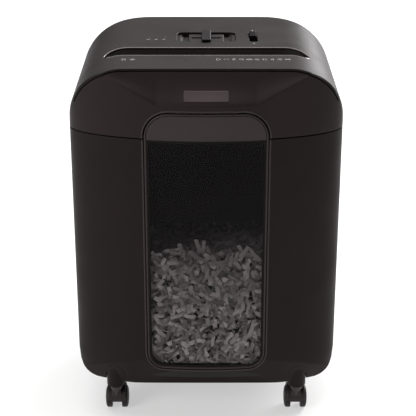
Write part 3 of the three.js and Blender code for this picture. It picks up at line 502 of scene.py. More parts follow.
def ring_at(height, inset):
    """One turn round the body. The height may vary with the distance from the middle."""
    half = HALF_WIDTH
    for _ in range(8):
        half = half_width(height(half), inset)
    limit = math.asin(min(1.0, half / HALF_WIDTH))
    front_steps, corner_steps = 44, 12
    right = []
    for i in range(front_steps + 1):
        x = HALF_WIDTH * math.sin(limit * i / front_steps) if i < front_steps else half
        z = height(x)
        right.append((x, shell_y(x, z, inset), z))
    z = height(half)
    back, radius = back_y(z, inset), BACK_RADIUS - inset
    for i in range(corner_steps + 1):
        angle = math.pi / 2 * i / corner_steps
        right.append((half - radius + radius * math.cos(angle), back - radius + radius * math.sin(angle), z))
    left = [(-x, y, z) for x, y, z in reversed(right[1:])]
    return right + left


def body_levels(inset):
    """Heights of the rings, as functions of the distance from the middle."""
    levels = []
    for share in (0.0, 0.5, 1.0):
        levels.append(lambda x, s=share: BASE_Z + s * (lip_z(x) - BASE_Z))
    for share in (0.12, 0.25, 0.38, 0.5, 0.62, 0.75, 0.88, 1.0):
        levels.append(lambda x, s=share: lip_z(x) + s * (crease_z(x) - lip_z(x)))
    for share in (0.06, 0.2, 0.5, 0.75, 1.0):
        levels.append(lambda x, s=share: crease_z(x) + s * (116.0 - crease_z(x)))
    flat = [140.0 + 30.0 * i for i in range(9)]
    for step in range(31):
        flat.append(SHOULDER_Z + (CROWN_DROP - inset) * math.sin(math.pi / 2 * step / 30))
    levels += [lambda x, z=z: z for z in flat]
    return levels


def body(name, inset, bottom, top, soft_bottom=0.0, soft_top=0.0):
    """The whole outer form between two heights, set in by a wall, with softened lower and upper rims."""
    rings = []
    rim = (0.0, 0.12, 0.4, 1.0)
    softened = lambda share, radius: radius * (1 - math.sqrt(max(0.0, 1 - (1 - share) ** 2)))
    if bottom != BASE_Z:
        for share in rim if soft_bottom else (0.0,):
            z = bottom + share * soft_bottom
            rings.append(ring_at(lambda x, z=z: z, inset + softened(share, soft_bottom)))
    for level in body_levels(inset):
        middle, side = level(0.0), level(HALF_WIDTH)
        if min(middle, side) < bottom + soft_bottom + 0.2 and bottom != BASE_Z:
            continue
        if max(middle, side) > top - soft_top - 0.05:
            continue
        rings.append(ring_at(level, inset))
    for share in reversed(rim) if soft_top else (0.0,):
        z = top - share * soft_top
        rings.append(ring_at(lambda x, z=z: z, inset + softened(share, soft_top)))
    return joined_rings(name, rings)


def scoop_tool(inset=0.0):
    """Everything in front of the hollow under the deck, with a rim that rounds over into the deck."""
    columns, rows = 132, 20
    rings = []
    for i in range(columns + 1):
        x = (SCOOP_END - 0.5) * (2 * i / columns - 1)
        start, crown = scoop_z(x), crown_z(x)
        round_over = min(SCOOP_ROUNDING, (crown - start) * 0.6)
        ring = []
        for k in range(rows + 1):
            z = start + (crown - round_over - start) * k / rows
            ring.append((x, front_y(x, z, inset), z))
        for degrees in (18, 36, 54, 72, 90):
            angle = math.radians(degrees)
            z = crown - round_over * (1 - math.sin(angle))
            ring.append((x, front_y(x, z, inset) + round_over * (1 - math.cos(angle)), z))
        above = crown + 12.0
        ring += [(x, ring[-1][1], above), (x, -OUT, above), (x, -OUT, start)]
        rings.append(ring)
    return joined_rings("scoop", rings)


def under_deck(inset):
    """Everything below the curve of the deck, lowered by a thickness."""
    right = []
    for i in range(41):
        angle = math.pi / 2 * i / 40
        right.append((CROWN_X + (HALF_WIDTH - CROWN_X - inset) * math.cos(angle),
                      SHOULDER_Z + (CROWN_DROP - inset) * math.sin(angle)))
    outline = [(HALF_WIDTH - inset, 0.0)] + right
    outline += [(-x, z) for x, z in reversed(outline)]
    return joined_rings("under_deck", [[(x, y, z) for x, z in outline] for y in (-220.0, 220.0)])


def rounded(left, right, bottom, top, lower, upper=None, corner=12, side=24):
    """A rounded rectangle as a function of how far it is widened. Every widening has as many points."""
    upper = lower if upper is None else upper

    def outline(wider=0.0):
        x0, x1, z0, z1 = left - wider, right + wider, bottom - wider, top + wider
        low, high = max(lower + wider, 0.02), max(upper + wider, 0.02)
        corners = ((x1 - low, z0 + low, low, -90.0), (x1 - high, z1 - high, high, 0.0),
                   (x0 + high, z1 - high, high, 90.0), (x0 + low, z0 + low, low, 180.0))
        return corner_loop([(a, b, radius, radius, start) for a, b, radius, start in corners], corner, side)

    return outline


def corner_loop(corners, steps, side):
    """Quarter ellipses of (centre, both radii, first angle), joined by straight sides."""
    points = []
    for cx, cy, rx, ry, start in corners:
        turns = [math.radians(start + 90.0 * i / steps) for i in range(steps + 1)]
        arc = [(cx + rx * math.cos(turn), cy + ry * math.sin(turn)) for turn in turns]
        if points:
            points += between(points[-1], arc[0], side)
        points += arc
    return points + between(points[-1], points[0], side)


def between(a, b, count):
    return [(a[0] + (b[0] - a[0]) * k / count, a[1] + (b[1] - a[1]) * k / count) for k in range(1, count)]


def through(outline, wider):
    """A tool that goes straight through the front."""
    return joined_rings("tool", [[(x, y, z) for x, z in outline(wider)] for y in (AHEAD, BEHIND)])


def front_rings(outline, profile, surface=bowed_y):
    """An outline at each widening and depth of a profile, on the bowed front."""
    return [[(x, surface(x, z, depth), z) for x, z in outline(wider)] for wider, depth in profile]


def front_tool(outline, profile, surface=bowed_y):
    """A tool through the front, whose rim follows a profile."""
    rings = front_rings(outline, profile, surface)
    near = [(x, AHEAD, z) for x, _, z in rings[0]]
    far = [(x, BEHIND, z) for x, _, z in rings[-1]]
    return joined_rings("tool", [near] + rings + [far])


def deck_rings(outline, profile):
    """An outline at each widening and depth of a profile, on the curved deck."""
    return [[(x, y, crown_z(x) - depth) for x, y in outline(wider)] for wider, depth in profile]


def deck_hole(outline, round_over):
    """A tool for a hole through the deck, with its rim rounded over."""
    profile = []
    for share in (0.0, 0.25, 0.5, 0.75, 1.0):
        angle = math.pi / 2 * share
        profile.append((round_over * (1 - math.sin(angle)), round_over * (1 - math.cos(angle)) - 0.03))
    rings = deck_rings(outline, profile)
    above = [(x, y, ABOVE_DECK) for x, y, _ in rings[0]]
    below = [(x, y, BELOW_DECK) for x, y, _ in rings[-1]]
    return joined_rings("tool", [above] + rings + [below])


def slab(name, near, far, columns, rows):
    """A closed plate between two grids of points, each given as a function of the shares across and up."""
    side = columns + 1
    points = [layer(i / columns, j / rows) for layer in (near, far) for j in range(rows + 1)
              for i in range(side)]
    offset = side * (rows + 1)
    faces = []
    for j in range(rows):
        for i in range(columns):
            a = j * side + i
            faces.append((a, a + 1, a + side + 1, a + side))
            faces.append((offset + a, offset + a + side, offset + a + side + 1, offset + a + 1))
    rim = list(range(side)) + [j * side + columns for j in range(1, rows + 1)]
    rim += [rows * side + i for i in range(columns - 1, -1, -1)] + [j * side for j in range(rows - 1, 0, -1)]
    for a, b in zip(rim, rim[1:] + rim[:1]):
        faces.append((a, offset + a, offset + b, b))
    return mesh_object(name, points, faces)


def front_slab(name, near, far, x_reach, z0, z1, columns=72, rows=110, surface=bowed_y):
    """A plate that follows the bowed front, between two depths below it."""
    def layer(depth):
        def point(across, up):
            x, z = x_reach * (2 * across - 1), z0 + (z1 - z0) * up
            return x, surface(x, z, depth), z
        return point

    return slab(name, layer(near), layer(far), columns, rows)


ARCH = rounded(-ARCH_HALF, ARCH_HALF, ARCH_BOTTOM, ARCH_TOP, ARCH_LOWER_RADIUS, ARCH_UPPER_RADIUS, 20, 44)
PANE = rounded(-PANE_HALF, PANE_HALF, PANE_BOTTOM, PANE_TOP, PANE_RADIUS, 0.0, 16, 44)

# ---- head ----


def add_arch_bead(body_name, clear, z0, z1):
    """A rounded bead round the bezel's opening, a little proud of the front, between two heights. Its lighter
    bezel finish is a painted highlight along the rim.
    """
    profile = [(clear, 2.0), (clear, 0.35), (clear + 0.25, -0.5), (clear + 0.8, -0.85),
               (clear + 1.7, -0.85), (clear + 2.2, -0.5), (clear + 2.4, 0.35), (clear + 2.4, 2.0)]
    bead = joined_rings("bead", front_rings(ARCH, profile), closed_path=True)
    kept(bead, block("zone", -OUT, OUT, -OUT, 0, z0, z1))
    # Painted highlight: the bead takes the bezel's lighter finish so that the rim of the casing reads as lit.
    finished(bead, body_name, "bezel_black", angle=60.0)


def add_head_casing():
    casing = body("head_shell", 0.0, HEAD_Z + SEAM, DECK_Z, soft_bottom=0.9)
    over = cut(block("over", -OUT, OUT, -OUT, OUT, COVER_SIDE_Z - 0.3, ABOVE_DECK), under_deck(COVER + 1.3))
    inner = cut(body("inner", SHELL, 380.0, DECK_Z - 1.0), scoop_tool(SHELL))
    cut(casing, scoop_tool(), inner, over)
    add_arch_bead(ROOT, HEAD_GAP, HEAD_Z + SEAM + 0.4, ABOVE_DECK)
    cut(casing, through(ARCH, HEAD_GAP))
    slots = []
    for i in range(6):
        x = -88.0 + 10.0 * i
        slots.append(block("slot", x, x + 4, BACK_Y - 6, BACK_Y + 2, 424, 458, 1.6, 3))
    cut(casing, *slots, rod("hole", 7.3, "y", BACK_Y - 6, BACK_Y + 2, (CORD_X, 0, CORD_Z)))
    # The head casing takes the shell's black painted lighter: painted light, for the light the head catches
    # from above.
    finished(casing, ROOT, "head_black_painted_light", ("head_casing",))


def add_cover():
    cover = body("deck_cover", 0.0, COVER_SIDE_Z, DECK_Z, soft_bottom=0.7)
    cut(cover, scoop_tool(), under_deck(COVER))
    trough = rounded(-TROUGH_HALF, TROUGH_HALF, TROUGH_FRONT, TROUGH_BACK, 7.0)
    lock = rounded(LOCK_LEFT, LOCK_RIGHT, LOCK_FRONT, LOCK_BACK, 4.0)
    tools = [deck_hole(mouth_outline, 1.2), deck_hole(trough, 1.0), deck_hole(lock, 0.7)]
    for x in LED_XS:
        tools.append(rod("tool", LED_RADIUS + 0.3, "z", BELOW_DECK, ABOVE_DECK, (x, LED_Y, 0)))
    cut(cover, *tools)
    finished(cover, ROOT, "cover_black", ("top_cover",))
    profile = [(0.3, 3.0), (0.3, 0.5), (0.6, 0.0), (1.1, -0.3), (1.6, -0.35), (2.1, -0.15), (2.4, 0.4),
               (2.4, 3.0)]
    trim = joined_rings("mouth_trim", deck_rings(mouth_outline, profile), closed_path=True)
    finished(trim, ROOT, "trim_gloss", angle=60.0)


def mouth_outline(wider, half_x=MOUTH_HALF, half_y=MOUTH_WIDTH / 2):
    """The paper mouth: small corners in front, and long elliptical ones behind."""
    shrink = half_y / (MOUTH_WIDTH / 2)
    small = MOUTH_FRONT_RADIUS * shrink + wider
    long_x, long_y = MOUTH_BACK_X + wider, MOUTH_BACK_Y * shrink + wider
    reach, front, back = half_x + wider, MOUTH_Y - half_y - wider, MOUTH_Y + half_y + wider
    corners = ((reach - small, front + small, small, small, -90.0),
               (reach - long_x, back - long_y, long_x, long_y, 0.0),
               (-reach + long_x, back - long_y, long_x, long_y, 90.0),
               (-reach + small, front + small, small, small, 180.0))
    return corner_loop(corners, 16, 44)


def add_throat():
    """The funnel from the mouth to the slot between the cutters, as a front and a rear guide."""
    def outline(share):
        half_x = MOUTH_HALF + (THROAT_HALF - MOUTH_HALF) * min(1.0, share * 1.15)
        half_y = MOUTH_WIDTH / 2 + (THROAT_WIDTH / 2 - MOUTH_WIDTH / 2) * min(1.0, share * 1.25)
        return mouth_outline(0.6, half_x, half_y)

    z_low = THROAT_Z + 1.0
    rings = []
    for share in (0.0, 0.1, 0.25, 0.4, 0.55, 0.7, 0.85, 1.0):
        ring = []
        for x, y in outline(share):
            top = crown_z(x) - COVER - 0.6
            ring.append((x, y, top + (z_low - top) * share))
        rings.append(ring)
    count = len(rings[0])
    for name, front, node in (("guide_front", True, "throat_front_guide"),
                              ("guide_rear", False, "throat_rear_guide")):
        keep = [i for i in range(count) if (rings[0][i][1] < MOUTH_Y) == front]
        start = next(i for i in keep if (i - 1) % count not in keep)
        order = [(start + k) % count for k in range(len(keep))]
        if not front:
            order = [(order[0] - 1) % count] + order + [(order[-1] + 1) % count]
        points = [ring[i] for ring in rings for i in order]
        width = len(order)
        faces = [(k * width + i, k * width + i + 1, (k + 1) * width + i + 1, (k + 1) * width + i)
                 for k in range(len(rings) - 1) for i in range(width - 1)]
        guide = mesh_object(name, points, faces)
        wall = guide.modifiers.new("wall", "SOLIDIFY")
        wall.thickness = 1.6 * MM
        wall.offset = 1.0
        applied(guide)
        finished(guide, ROOT, "trim_black", (node,))


def lined(name, left, right, front, back, floor, radius):
    """A block under the deck that lines one of its openings, with a wall all round."""
    wall = 2.6
    return block(name, left - wall, right + wall, front - wall, back + wall, floor, DECK_Z - COVER - 0.3,
                 radius, 2)


def add_direction_switch():
    floor = DECK_Z - TROUGH_DEPTH
    tray = lined("selector_tray", -TROUGH_HALF, TROUGH_HALF, TROUGH_FRONT, TROUGH_BACK, floor - 2, 0.6)
    basin = rounded(-TROUGH_HALF, TROUGH_HALF, TROUGH_FRONT, TROUGH_BACK, 7.0)
    rings = []
    for share in (0.0, 0.25, 0.5, 0.75, 1.0):
        ring = []
        for x, y in basin(0.0):
            inner = max(-TROUGH_HALF + 9.0, min(TROUGH_HALF - 9.0, x))
            ring.append((x + (inner - x) * share, y, DECK_Z - COVER + 2.0 - (TROUGH_DEPTH - 0.6) * share))
        rings.append(ring)
    cut(tray, joined_rings("basin", rings))
    cut(tray, block("slot", -22, 22, 29, 33, floor - 4, floor + 2))
    finished(tray, ROOT, "cover_black", ("switch_tray",))
    island = block("selector_island", -23, 23, 11.5, 46.5, floor + 0.2, DECK_Z - 0.9, 1.4, 4)
    cut(island, block("slot", -19, 19, 25, 31, floor + 1, DECK_Z + 2, 1.2, 3))
    finished(island, ROOT, "cover_black")
    knob = block("selector_grip", -6, 6, 3, 52, DECK_Z + 0.3, KNOB_TOP, 1.4, 4)
    fused(knob, block("web", -3, 3, 26, 30, floor + 1.5, DECK_Z + 1, 0.4, 2))
    ridges = [block("ridge", -3.7 + 3 * i, -2.3 + 3 * i, -2, 60, KNOB_TOP - 0.9, KNOB_TOP + 1, 0.3, 2)
              for i in range(3)]
    cut(knob, *ridges)
    finished(knob, "selector_slider", "trim_black", ("selector_knob",))


def add_lock():
    floor, top = LINER_Z + 2.0, DECK_Z + 2.5
    tray = lined("lock_well", LOCK_LEFT, LOCK_RIGHT, LOCK_FRONT, LOCK_BACK, LINER_Z, 0.5)
    cut(tray, block("hollow", LOCK_LEFT, LOCK_RIGHT, LOCK_FRONT, LOCK_BACK, floor, DECK_Z, 1.6, 3))
    finished(tray, ROOT, "trim_black", ("lock_tray",))
    left, right, back = LOCK_LEFT + 0.9, LOCK_RIGHT - 0.9, LOCK_BACK - 3
    lock = block("lock_grip", left, right, back - 24, back, floor + 0.3, top, 1.2, 4)
    ridges = [back - 6 - 5 * i for i in range(4)]
    cut(lock, *[block("ridge", LOCK_LEFT, LOCK_RIGHT, y, y + 2, top - 1.0, top + 2, 0.5, 3) for y in ridges])
    finished(lock, "lock_slider", "trim_black", ("lock_knob",))


def add_lenses():
    """Light pipes whose domed tops stand just proud of the deck."""
    for index, x in enumerate(LED_XS):
        lens = rod(f"lens_{index + 1}", LED_RADIUS, "z", LINER_Z + 2, DECK_Z + 0.9, (x, LED_Y, 0), 24, 0.8)
        finished(lens, ROOT, "lens_dark", (f"led_lens_{index + 1}",))


def add_marks():
    """Marks on the deck: printed plain generic signs and the dots at the ends of the lock's travel, and a
    painted highlight in front of each lens.
    """
    bm = bmesh.new()

    def stroke(points, width=0.45):
        for (ax, ay), (bx, by) in zip(points, points[1:]):
            length = math.hypot(bx - ax, by - ay) or 1.0
            nx, ny = -(by - ay) / length * width / 2, (bx - ax) / length * width / 2
            corners = ((ax + nx, ay + ny), (bx + nx, by + ny), (bx - nx, by - ny), (ax - nx, ay - ny))
            low = [bm.verts.new((x * MM, y * MM, (crown_z(x) + 0.01) * MM)) for x, y in corners]
            high = [bm.verts.new((x * MM, y * MM, (crown_z(x) + 0.06) * MM)) for x, y in corners]
            bm.faces.new(high)
            bm.faces.new(low[::-1])
            for k in range(4):
                bm.faces.new((low[k], low[(k + 1) % 4], high[(k + 1) % 4], high[k]))

    def hoop(x, y, radius):
        stroke([(x + radius * math.cos(math.pi * k / 8), y + radius * math.sin(math.pi * k / 8))
                for k in range(17)])

    def sheet(x, y):
        stroke([(x - 2, y - 3), (x - 2, y + 3), (x + 1, y + 3), (x + 2, y + 2), (x + 2, y - 3),
                (x - 2, y - 3)])

    def card(x, y):
        stroke([(x - 3, y - 2), (x - 3, y + 2), (x + 3, y + 2), (x + 3, y - 2), (x - 3, y - 2)])
        stroke([(x - 3, y + 0.6), (x + 3, y + 0.6)], 0.7)

    def disc(x, y):
        hoop(x, y, 2.8)
        hoop(x, y, 0.8)

    def clip(x, y):
        stroke([(x - 1.4, y + 2), (x - 1.4, y - 2), (x, y - 3), (x + 1.4, y - 2), (x + 1.4, y + 3),
                (x - 0.2, y + 3), (x - 0.2, y - 1)])

    def staple(x, y):
        stroke([(x - 2.4, y - 1.6), (x - 2.4, y + 1.4), (x + 2.4, y + 1.4), (x + 2.4, y - 1.6)])

    row = -78.0
    sheet(-101.0, row)
    disc(-90.0, row)
    signs = (sheet, staple, clip, sheet, card, disc, sheet, clip, disc, card)
    for index, sign in enumerate(signs):
        sign(15.0 + 9.4 * index, row)
    # A light dash just in front of each lens: a painted highlight, for the glint on the lens's dome.
    for x in LED_XS:
        stroke([(x - 1.8, LED_Y - 5.4), (x + 1.8, LED_Y - 5.4)], 1.2)
    lock_x = (LOCK_LEFT + LOCK_RIGHT) / 2
    for y in (LOCK_BACK + 6.5, LOCK_FRONT - 8.5):
        stroke([(lock_x - 1.0, y), (lock_x + 1.0, y)], 2.0)
    marks = from_bmesh("deck_marks", bm)
    marks.data.materials.append(FINISH["marks_grey"])
    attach(marks, ROOT)


def add_badge():
    plate = front_slab("maker_plate", -0.9, 0.2, 30.0, 444.0, 462.0, 40, 30, front_y)
    outline = rounded(-27.0, 27.0, 446.5, 457.5, 2.2, None, 8, 12)
    kept(plate, front_tool(outline, [(-0.4, -0.95), (-0.1, -0.8), (0.0, -0.5)], front_y))
    finished(plate, ROOT, "badge_grey", ("badge",))


def add_gland():
    profile = [(4.4, -10.0), (7.0, -10.0), (7.0, -5.0), (9.5, -5.0), (9.5, -3.4), (7.0, -3.3), (7.0, -0.8),
               (6.4, -0.2), (5.2, -0.2), (4.4, -1.0)]
    gland = turned("gland", profile, "y", (CORD_X, BACK_Y, CORD_Z), 40)
    finished(gland, ROOT, "gland_rubber", ("cord_gland",))


# ---- bin ----


def side_groove():
    """A groove down both sides that softens the joint between the bin front and the cabinet."""
    radius, start, end = 0.8, BASE_Z - 4.0, HEAD_Z + 4.0
    tools = []
    for side in (-1, 1):
        rings = []
        for k in range(61):
            z = start + (end - start) * k / 60
            x = side * half_width(max(z, BASE_Z + 0.5))
            rings.append(circle(x, PART_Y - 0.15, z, radius, 8))
        tools.append(joined_rings("groove", rings))
    return tools


def socket_tool(side, wider):
    """The arched passage at the foot of the bin front that a front caster's socket stands in."""
    x, below = side * CASTER_X, BASE_Z - 22.0
    reach, rise = SOCKET_RADIUS + wider, SOCKET_ARCH + wider
    outline = [(x - reach, below)]
    for k in range(17):
        angle = math.pi * (1 - k / 16)
        outline.append((x + reach * math.cos(angle), SOCKET_TOP - SOCKET_ARCH + rise * math.sin(angle)))
    outline.append((x + reach, below))
    return joined_rings("socket_tool", [[(a, y, b) for a, b in outline] for y in (AHEAD, PART_Y + 4.0)])


def add_bin_front():
    front = body("bin_panel", 0.0, BASE_Z, HEAD_Z, soft_top=0.9)
    cut(front, body("inner", SHELL, BELOW_BASE, ABOVE_SEAM))
    kept(front, block("fore", -OUT, OUT, -OUT, PART_Y - 0.3, 0, BELOW_DECK))
    add_arch_bead("bin", PANEL_GAP, 0, HEAD_Z - 0.5)
    cut(front, through(ARCH, PANEL_GAP), *side_groove(), socket_tool(1, 0.35), socket_tool(-1, 0.35))
    finished(front, "bin", "shell_black", ("bin_front",))


def add_bezel():
    bezel = front_slab("bezel", -1.0, SHELL, ARCH_HALF + 2, ARCH_BOTTOM - 2, ARCH_TOP + 2)
    kept(bezel, front_tool(ARCH, [(-1.0, -1.03), (-0.6, -0.9), (-0.25, -0.65), (0.0, -0.1)]))
    cut(bezel, front_tool(PANE, [(1.6, -1.03), (1.15, -0.9), (0.75, -0.6), (0.5, 0.0)]))
    groove = front_rings(ARCH, [(-2.3, -1.4), (-1.7, -1.0), (-2.3, -0.2), (-2.9, -1.0)])
    line = joined_rings("line", groove, closed_path=True)
    cut(bezel, kept(line, block("zone", -OUT, OUT, -OUT, 0, PANE_TOP + 0.6, ABOVE_DECK)))
    finished(bezel, "bin", "bezel_black", ("bin_bezel",))


def add_window():
    size = (PANE_HALF + 1, PANE_BOTTOM - 1, PANE_TOP + 1, 48, 90)
    pane = front_slab("window_pane", 0.4, SHELL - 0.2, *size)
    kept(pane, through(PANE, 0.0))
    finished(pane, "bin", "smoked_pane", ("bin_window",))
    gasket = front_slab("window_gasket", 0.05, 0.36, *size)
    kept(gasket, through(PANE, 0.3))
    cut(gasket, through(PANE, -2.6))
    finished(gasket, "bin", "trim_black")


def heap_top(x, y):
    """The heap leans against the window and falls away behind it."""
    return 200 - 0.27 * y + 7 * math.cos((x - 30) / 55) + 4 * math.sin(x / 23 + y / 31)


def add_heap_core():
    """The inside of the heap as a black slab, as wide as the tub, narrow between the sockets and wide above
    them: painted shade, for paper that lies only in shade.
    """
    half, floor, back = 150.0, 66.0, 122.0

    def layer(height):
        def point(across, deep):
            x = half * (2 * across - 1)
            near = front_y(x, HEAP_MID) + 11.4
            y = near + (back - near) * deep
            return x, y, height(x, y)
        return point

    core = slab("shred_core_painted_shade", layer(lambda x, y: floor), layer(lambda x, y: heap_top(x, y) - 5.0), 40, 40)
    keel, wide, step, top = 104, half + 4, floor + 20, 300
    section = [(-keel, floor), (keel, floor), (keel, step), (wide, step), (wide, top), (-wide, top),
               (-wide, step), (-keel, step)]
    kept(core, joined_rings("tub", [[(x, y, z) for x, z in section] for y in (AHEAD, back + 4)]))
    # Its black is painted shade: the paper inside the heap is dark only for want of light.
    finished(core, "bin", "inner_black", weighted=False)


def add_shreds():
    """Loose curled strips: upright ones behind the window, and ones that lie on top of the heap. Each has a
    random grey, set darker higher up and on the heap's top as painted shade.
    """
    rng = random.Random(7)
    bm = bmesh.new()
    grey_and_painted_shade = bm.loops.layers.float_color.new("grey_and_painted_shade")

    def strip(centre, facing, length, width, shade):
        turn = facing.to_matrix().to_4x4()
        curl = rng.uniform(-0.9, 0.9)
        twist = rng.uniform(-0.5, 0.5)
        rows = []
        for k in range(5):
            along = (k / 4 - 0.5) * length
            lift = curl * 3.0 * (1 - (2 * k / 4 - 1) ** 2)
            pair = []
            for edge in (-0.5, 0.5):
                local = Vector((along, edge * width, lift + edge * twist * along * 0.25))
                place = turn @ local + centre
                place.y = max(place.y, front_y(place.x, max(place.z, 60.0)) + 4.2)
                pair.append(bm.verts.new(place * MM))
            rows.append(pair)
        for (a, b), (c, d) in zip(rows, rows[1:]):
            face = bm.faces.new((a, b, d, c))
            face.smooth = True
            for loop in face.loops:
                loop[grey_and_painted_shade] = (shade, shade, shade, 1.0)

    def facing(tilt_axis, spread):
        turn = Matrix.Rotation(rng.uniform(-spread, spread), 3, "X") @ Matrix.Rotation(
            rng.uniform(-spread, spread), 3, "Y") @ Matrix.Rotation(rng.uniform(0, 2 * math.pi), 3, "Z")
        return (tilt_axis @ turn).to_quaternion()

    upright = Matrix.Rotation(math.radians(90), 3, "X")
    level = Matrix.Identity(3)
    foot = 68.0
    behind_window, on_top, leaning = 2000, 1700, 14
    for _ in range(behind_window):
        x = rng.uniform(-PANE_HALF - 6, PANE_HALF + 6)
        y = front_y(x, HEAP_MID) + 5.0 + 20.0 * rng.random() ** 1.3
        rise = rng.random()
        z = foot + (heap_top(x, y) - foot) * rise
        # Painted shade: the higher a strip stands in the heap, the darker its grey.
        strip(Vector((x, y, z)), facing(upright, 0.75), rng.uniform(15, 28), rng.uniform(4.4, 6.2),
              rng.random() * (1.0 - 0.55 * rise * rise))
    for _ in range(on_top):
        x = rng.uniform(-146, 146)
        y = rng.uniform(front_y(x, HEAP_MID) + 12.0, 118.0)
        z = heap_top(x, y) + rng.uniform(-4.0, 5.0)
        # Painted shade: the strips on top of the heap are painted dark.
        strip(Vector((x, y, z)), facing(level, 0.5), rng.uniform(15, 28), rng.uniform(4.4, 6.2),
              0.35 * rng.random())
    for _ in range(leaning):
        x = rng.uniform(-PANE_HALF + 8, PANE_HALF - 8)
        y = front_y(x, HEAP_MID) + 7.0
        z = heap_top(x, y) + rng.uniform(0.0, 14.0)
        # Painted shade: the strips leaning on the window at the heap's top are painted dark.
        strip(Vector((x, y, z)), facing(upright, 0.4), rng.uniform(15, 24), rng.uniform(4.4, 5.6),
              rng.uniform(0.1, 0.35))
    shreds = from_bmesh("shreds", bm)
    shreds.data.materials.append(FINISH["shredded_paper"])
    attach(shreds, "bin")
    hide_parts("paper_shreds")


# ---- cabinet and casters ----


def socket(name, x, y):
    """A boss under the body that takes a caster's stem. The front ones run up into the tucked front."""
    rings = []
    for radius, z in ((SOCKET_RADIUS - 0.8, SOCKET_Z), (SOCKET_RADIUS - 0.2, SOCKET_Z + 0.3),
                      (SOCKET_RADIUS, SOCKET_Z + 0.9)):
        rings.append(circle(x, y, z, radius, 48))
    top, arch = (SOCKET_TOP - SOCKET_ARCH, SOCKET_ARCH) if y < 0 else (BASE_Z + 4.0, 0.0)
    rings.append([(px, py, top + arch * math.sqrt(max(0.0, 1 - ((px - x) / SOCKET_RADIUS) ** 2)))
                  for px, py, _ in circle(x, y, top, SOCKET_RADIUS, 48)])
    boss = joined_rings(name, rings)
    return cut(boss, rod("bore", 4.4, "z", SOCKET_Z - 1, SOCKET_Z + 13, (x, y, 0), 24))


def add_cabinet():
    shell = body("cabinet_shell", 0.0, BASE_Z, HEAD_Z, soft_top=0.9)
    cut(shell, body("inner", CABINET_WALL, BASE_Z + 5.0, ABOVE_SEAM))
    kept(shell, block("aft", -OUT, OUT, PART_Y, OUT, 0, BELOW_DECK))
    cut(shell, *side_groove())
    finished(shell, ROOT, "shell_black", ("cabinet",))
    tray = body("base_lip", SHELL + 2.0, BASE_Z, 140.0)
    kept(tray, block("lip_zone", -134, 134, -112, PART_Y + 2, BASE_Z, BASE_Z + 6))
    finished(tray, ROOT, "shell_black")
    for name, x, y in CASTERS:
        boss = socket(f"socket_{name}", x, y)
        if y < 0:
            # The skin that the passage takes out of the bin front stays here, in front of the boss.
            infill = body("infill", 0.0, BASE_Z, 120.0)
            fore = block("fore", -OUT, OUT, AHEAD, y - 6, 0, BELOW_DECK)
            kept(infill, socket_tool(1 if x > 0 else -1, 0.0), fore)
            fused(boss, infill)
        finished(boss, ROOT, "shell_black")


def add_fork(name, x, y):
    """A caster's arched hood over both wheels, with its arm, its collar and the pin it swivels on."""
    axle, half = y + TRAIL, HOOD_HALF
    right = [(half - 0.9, HOOD_OUT), (half - 0.3, HOOD_OUT - 0.25), (half, HOOD_OUT - 0.7), (half, HOOD_IN)]
    section = [(-across, radius) for across, radius in reversed(right)] + right
    rings = []
    for k in range(41):
        angle = math.radians(169.0 - 158.0 * k / 40)
        rings.append([(x + across, axle + radius * math.cos(angle), WHEEL_RADIUS + radius * math.sin(angle))
                      for across, radius in section])
    hood = joined_rings(f"{name}_hood", rings)
    web_half = 6.2
    arm = block("arm", x - web_half, x + web_half, axle - 16.6, axle + 6, WHEEL_RADIUS + 5,
                WHEEL_RADIUS + 17.4, 1.2, 3)
    web = rod("web", 8.5, "x", -web_half, web_half, (x, axle, WHEEL_RADIUS), 40, 0.6)
    cone = ((1.6, 22.5), (2.6, 24.0), (5.6, 33.0), (9.2, 41.4), (9.5, 42.0), (9.3, SOCKET_Z - 0.3))
    collar = joined_rings("collar", [circle(x, y, z, radius, 32) for radius, z in cone])
    pin = rod("pin", 4.0, "z", SOCKET_Z - 4, SOCKET_Z + 12, (x, y, 0), 24, 0.6)
    fused(hood, arm, web, collar, pin)
    cut(hood, rod("bore", 2.3, "x", -20, 20, (x, axle, WHEEL_RADIUS), 24))
    finished(hood, f"caster_{name}", "caster_plastic", (f"caster_{name}_hood",))


def add_wheels(name, x, y):
    """A caster's two wheels: a flat tread, and an outer face that is domed, with a fine ring in it."""
    hub, inner, r, out = 2.3, 6.7, WHEEL_RADIUS, WHEEL_OUT
    profile = [(hub, inner), (r - 0.7, inner), (r - 0.2, inner + 0.2), (r, inner + 0.7), (r, out - 3.2),
               (r - 0.2, out - 2.5), (r - 0.9, out - 1.7), (12.6, out - 1.0), (10.4, out - 0.4),
               (10.0, out - 0.7), (9.6, out - 0.7), (9.3, out - 0.3), (7.0, out), (3.4, out),
               (hub + 0.3, out - 0.3), (hub, out - 0.8)]
    for side, label in ((-1, "left"), (1, "right")):
        node = f"caster_{name}_wheel_{label}"
        wheel = turned(f"{name}_wheel_{label}", [(radius, side * reach) for radius, reach in profile], "x",
                       (x, y + TRAIL, WHEEL_RADIUS), 56)
        finished(wheel, node, "wheel_black", (node,))


# ---- finishes of the pieces that keep their CAD shape ----

CAD_FINISHES = {
    "frame_plate": "sheet_steel", "tie_rod": "sheet_steel", "idler_pin": "sheet_steel", "stripper": "nylon",
    "cutter": "cutter_steel", "pinion": "cutter_steel", "motor": "motor_steel", "bushing": "bronze",
    "idler_gear": "nylon", "control_board": "board_green", "capacitor_clip": "nylon",
    "capacitor": "capacitor_grey", "axle": "caster_steel",
}


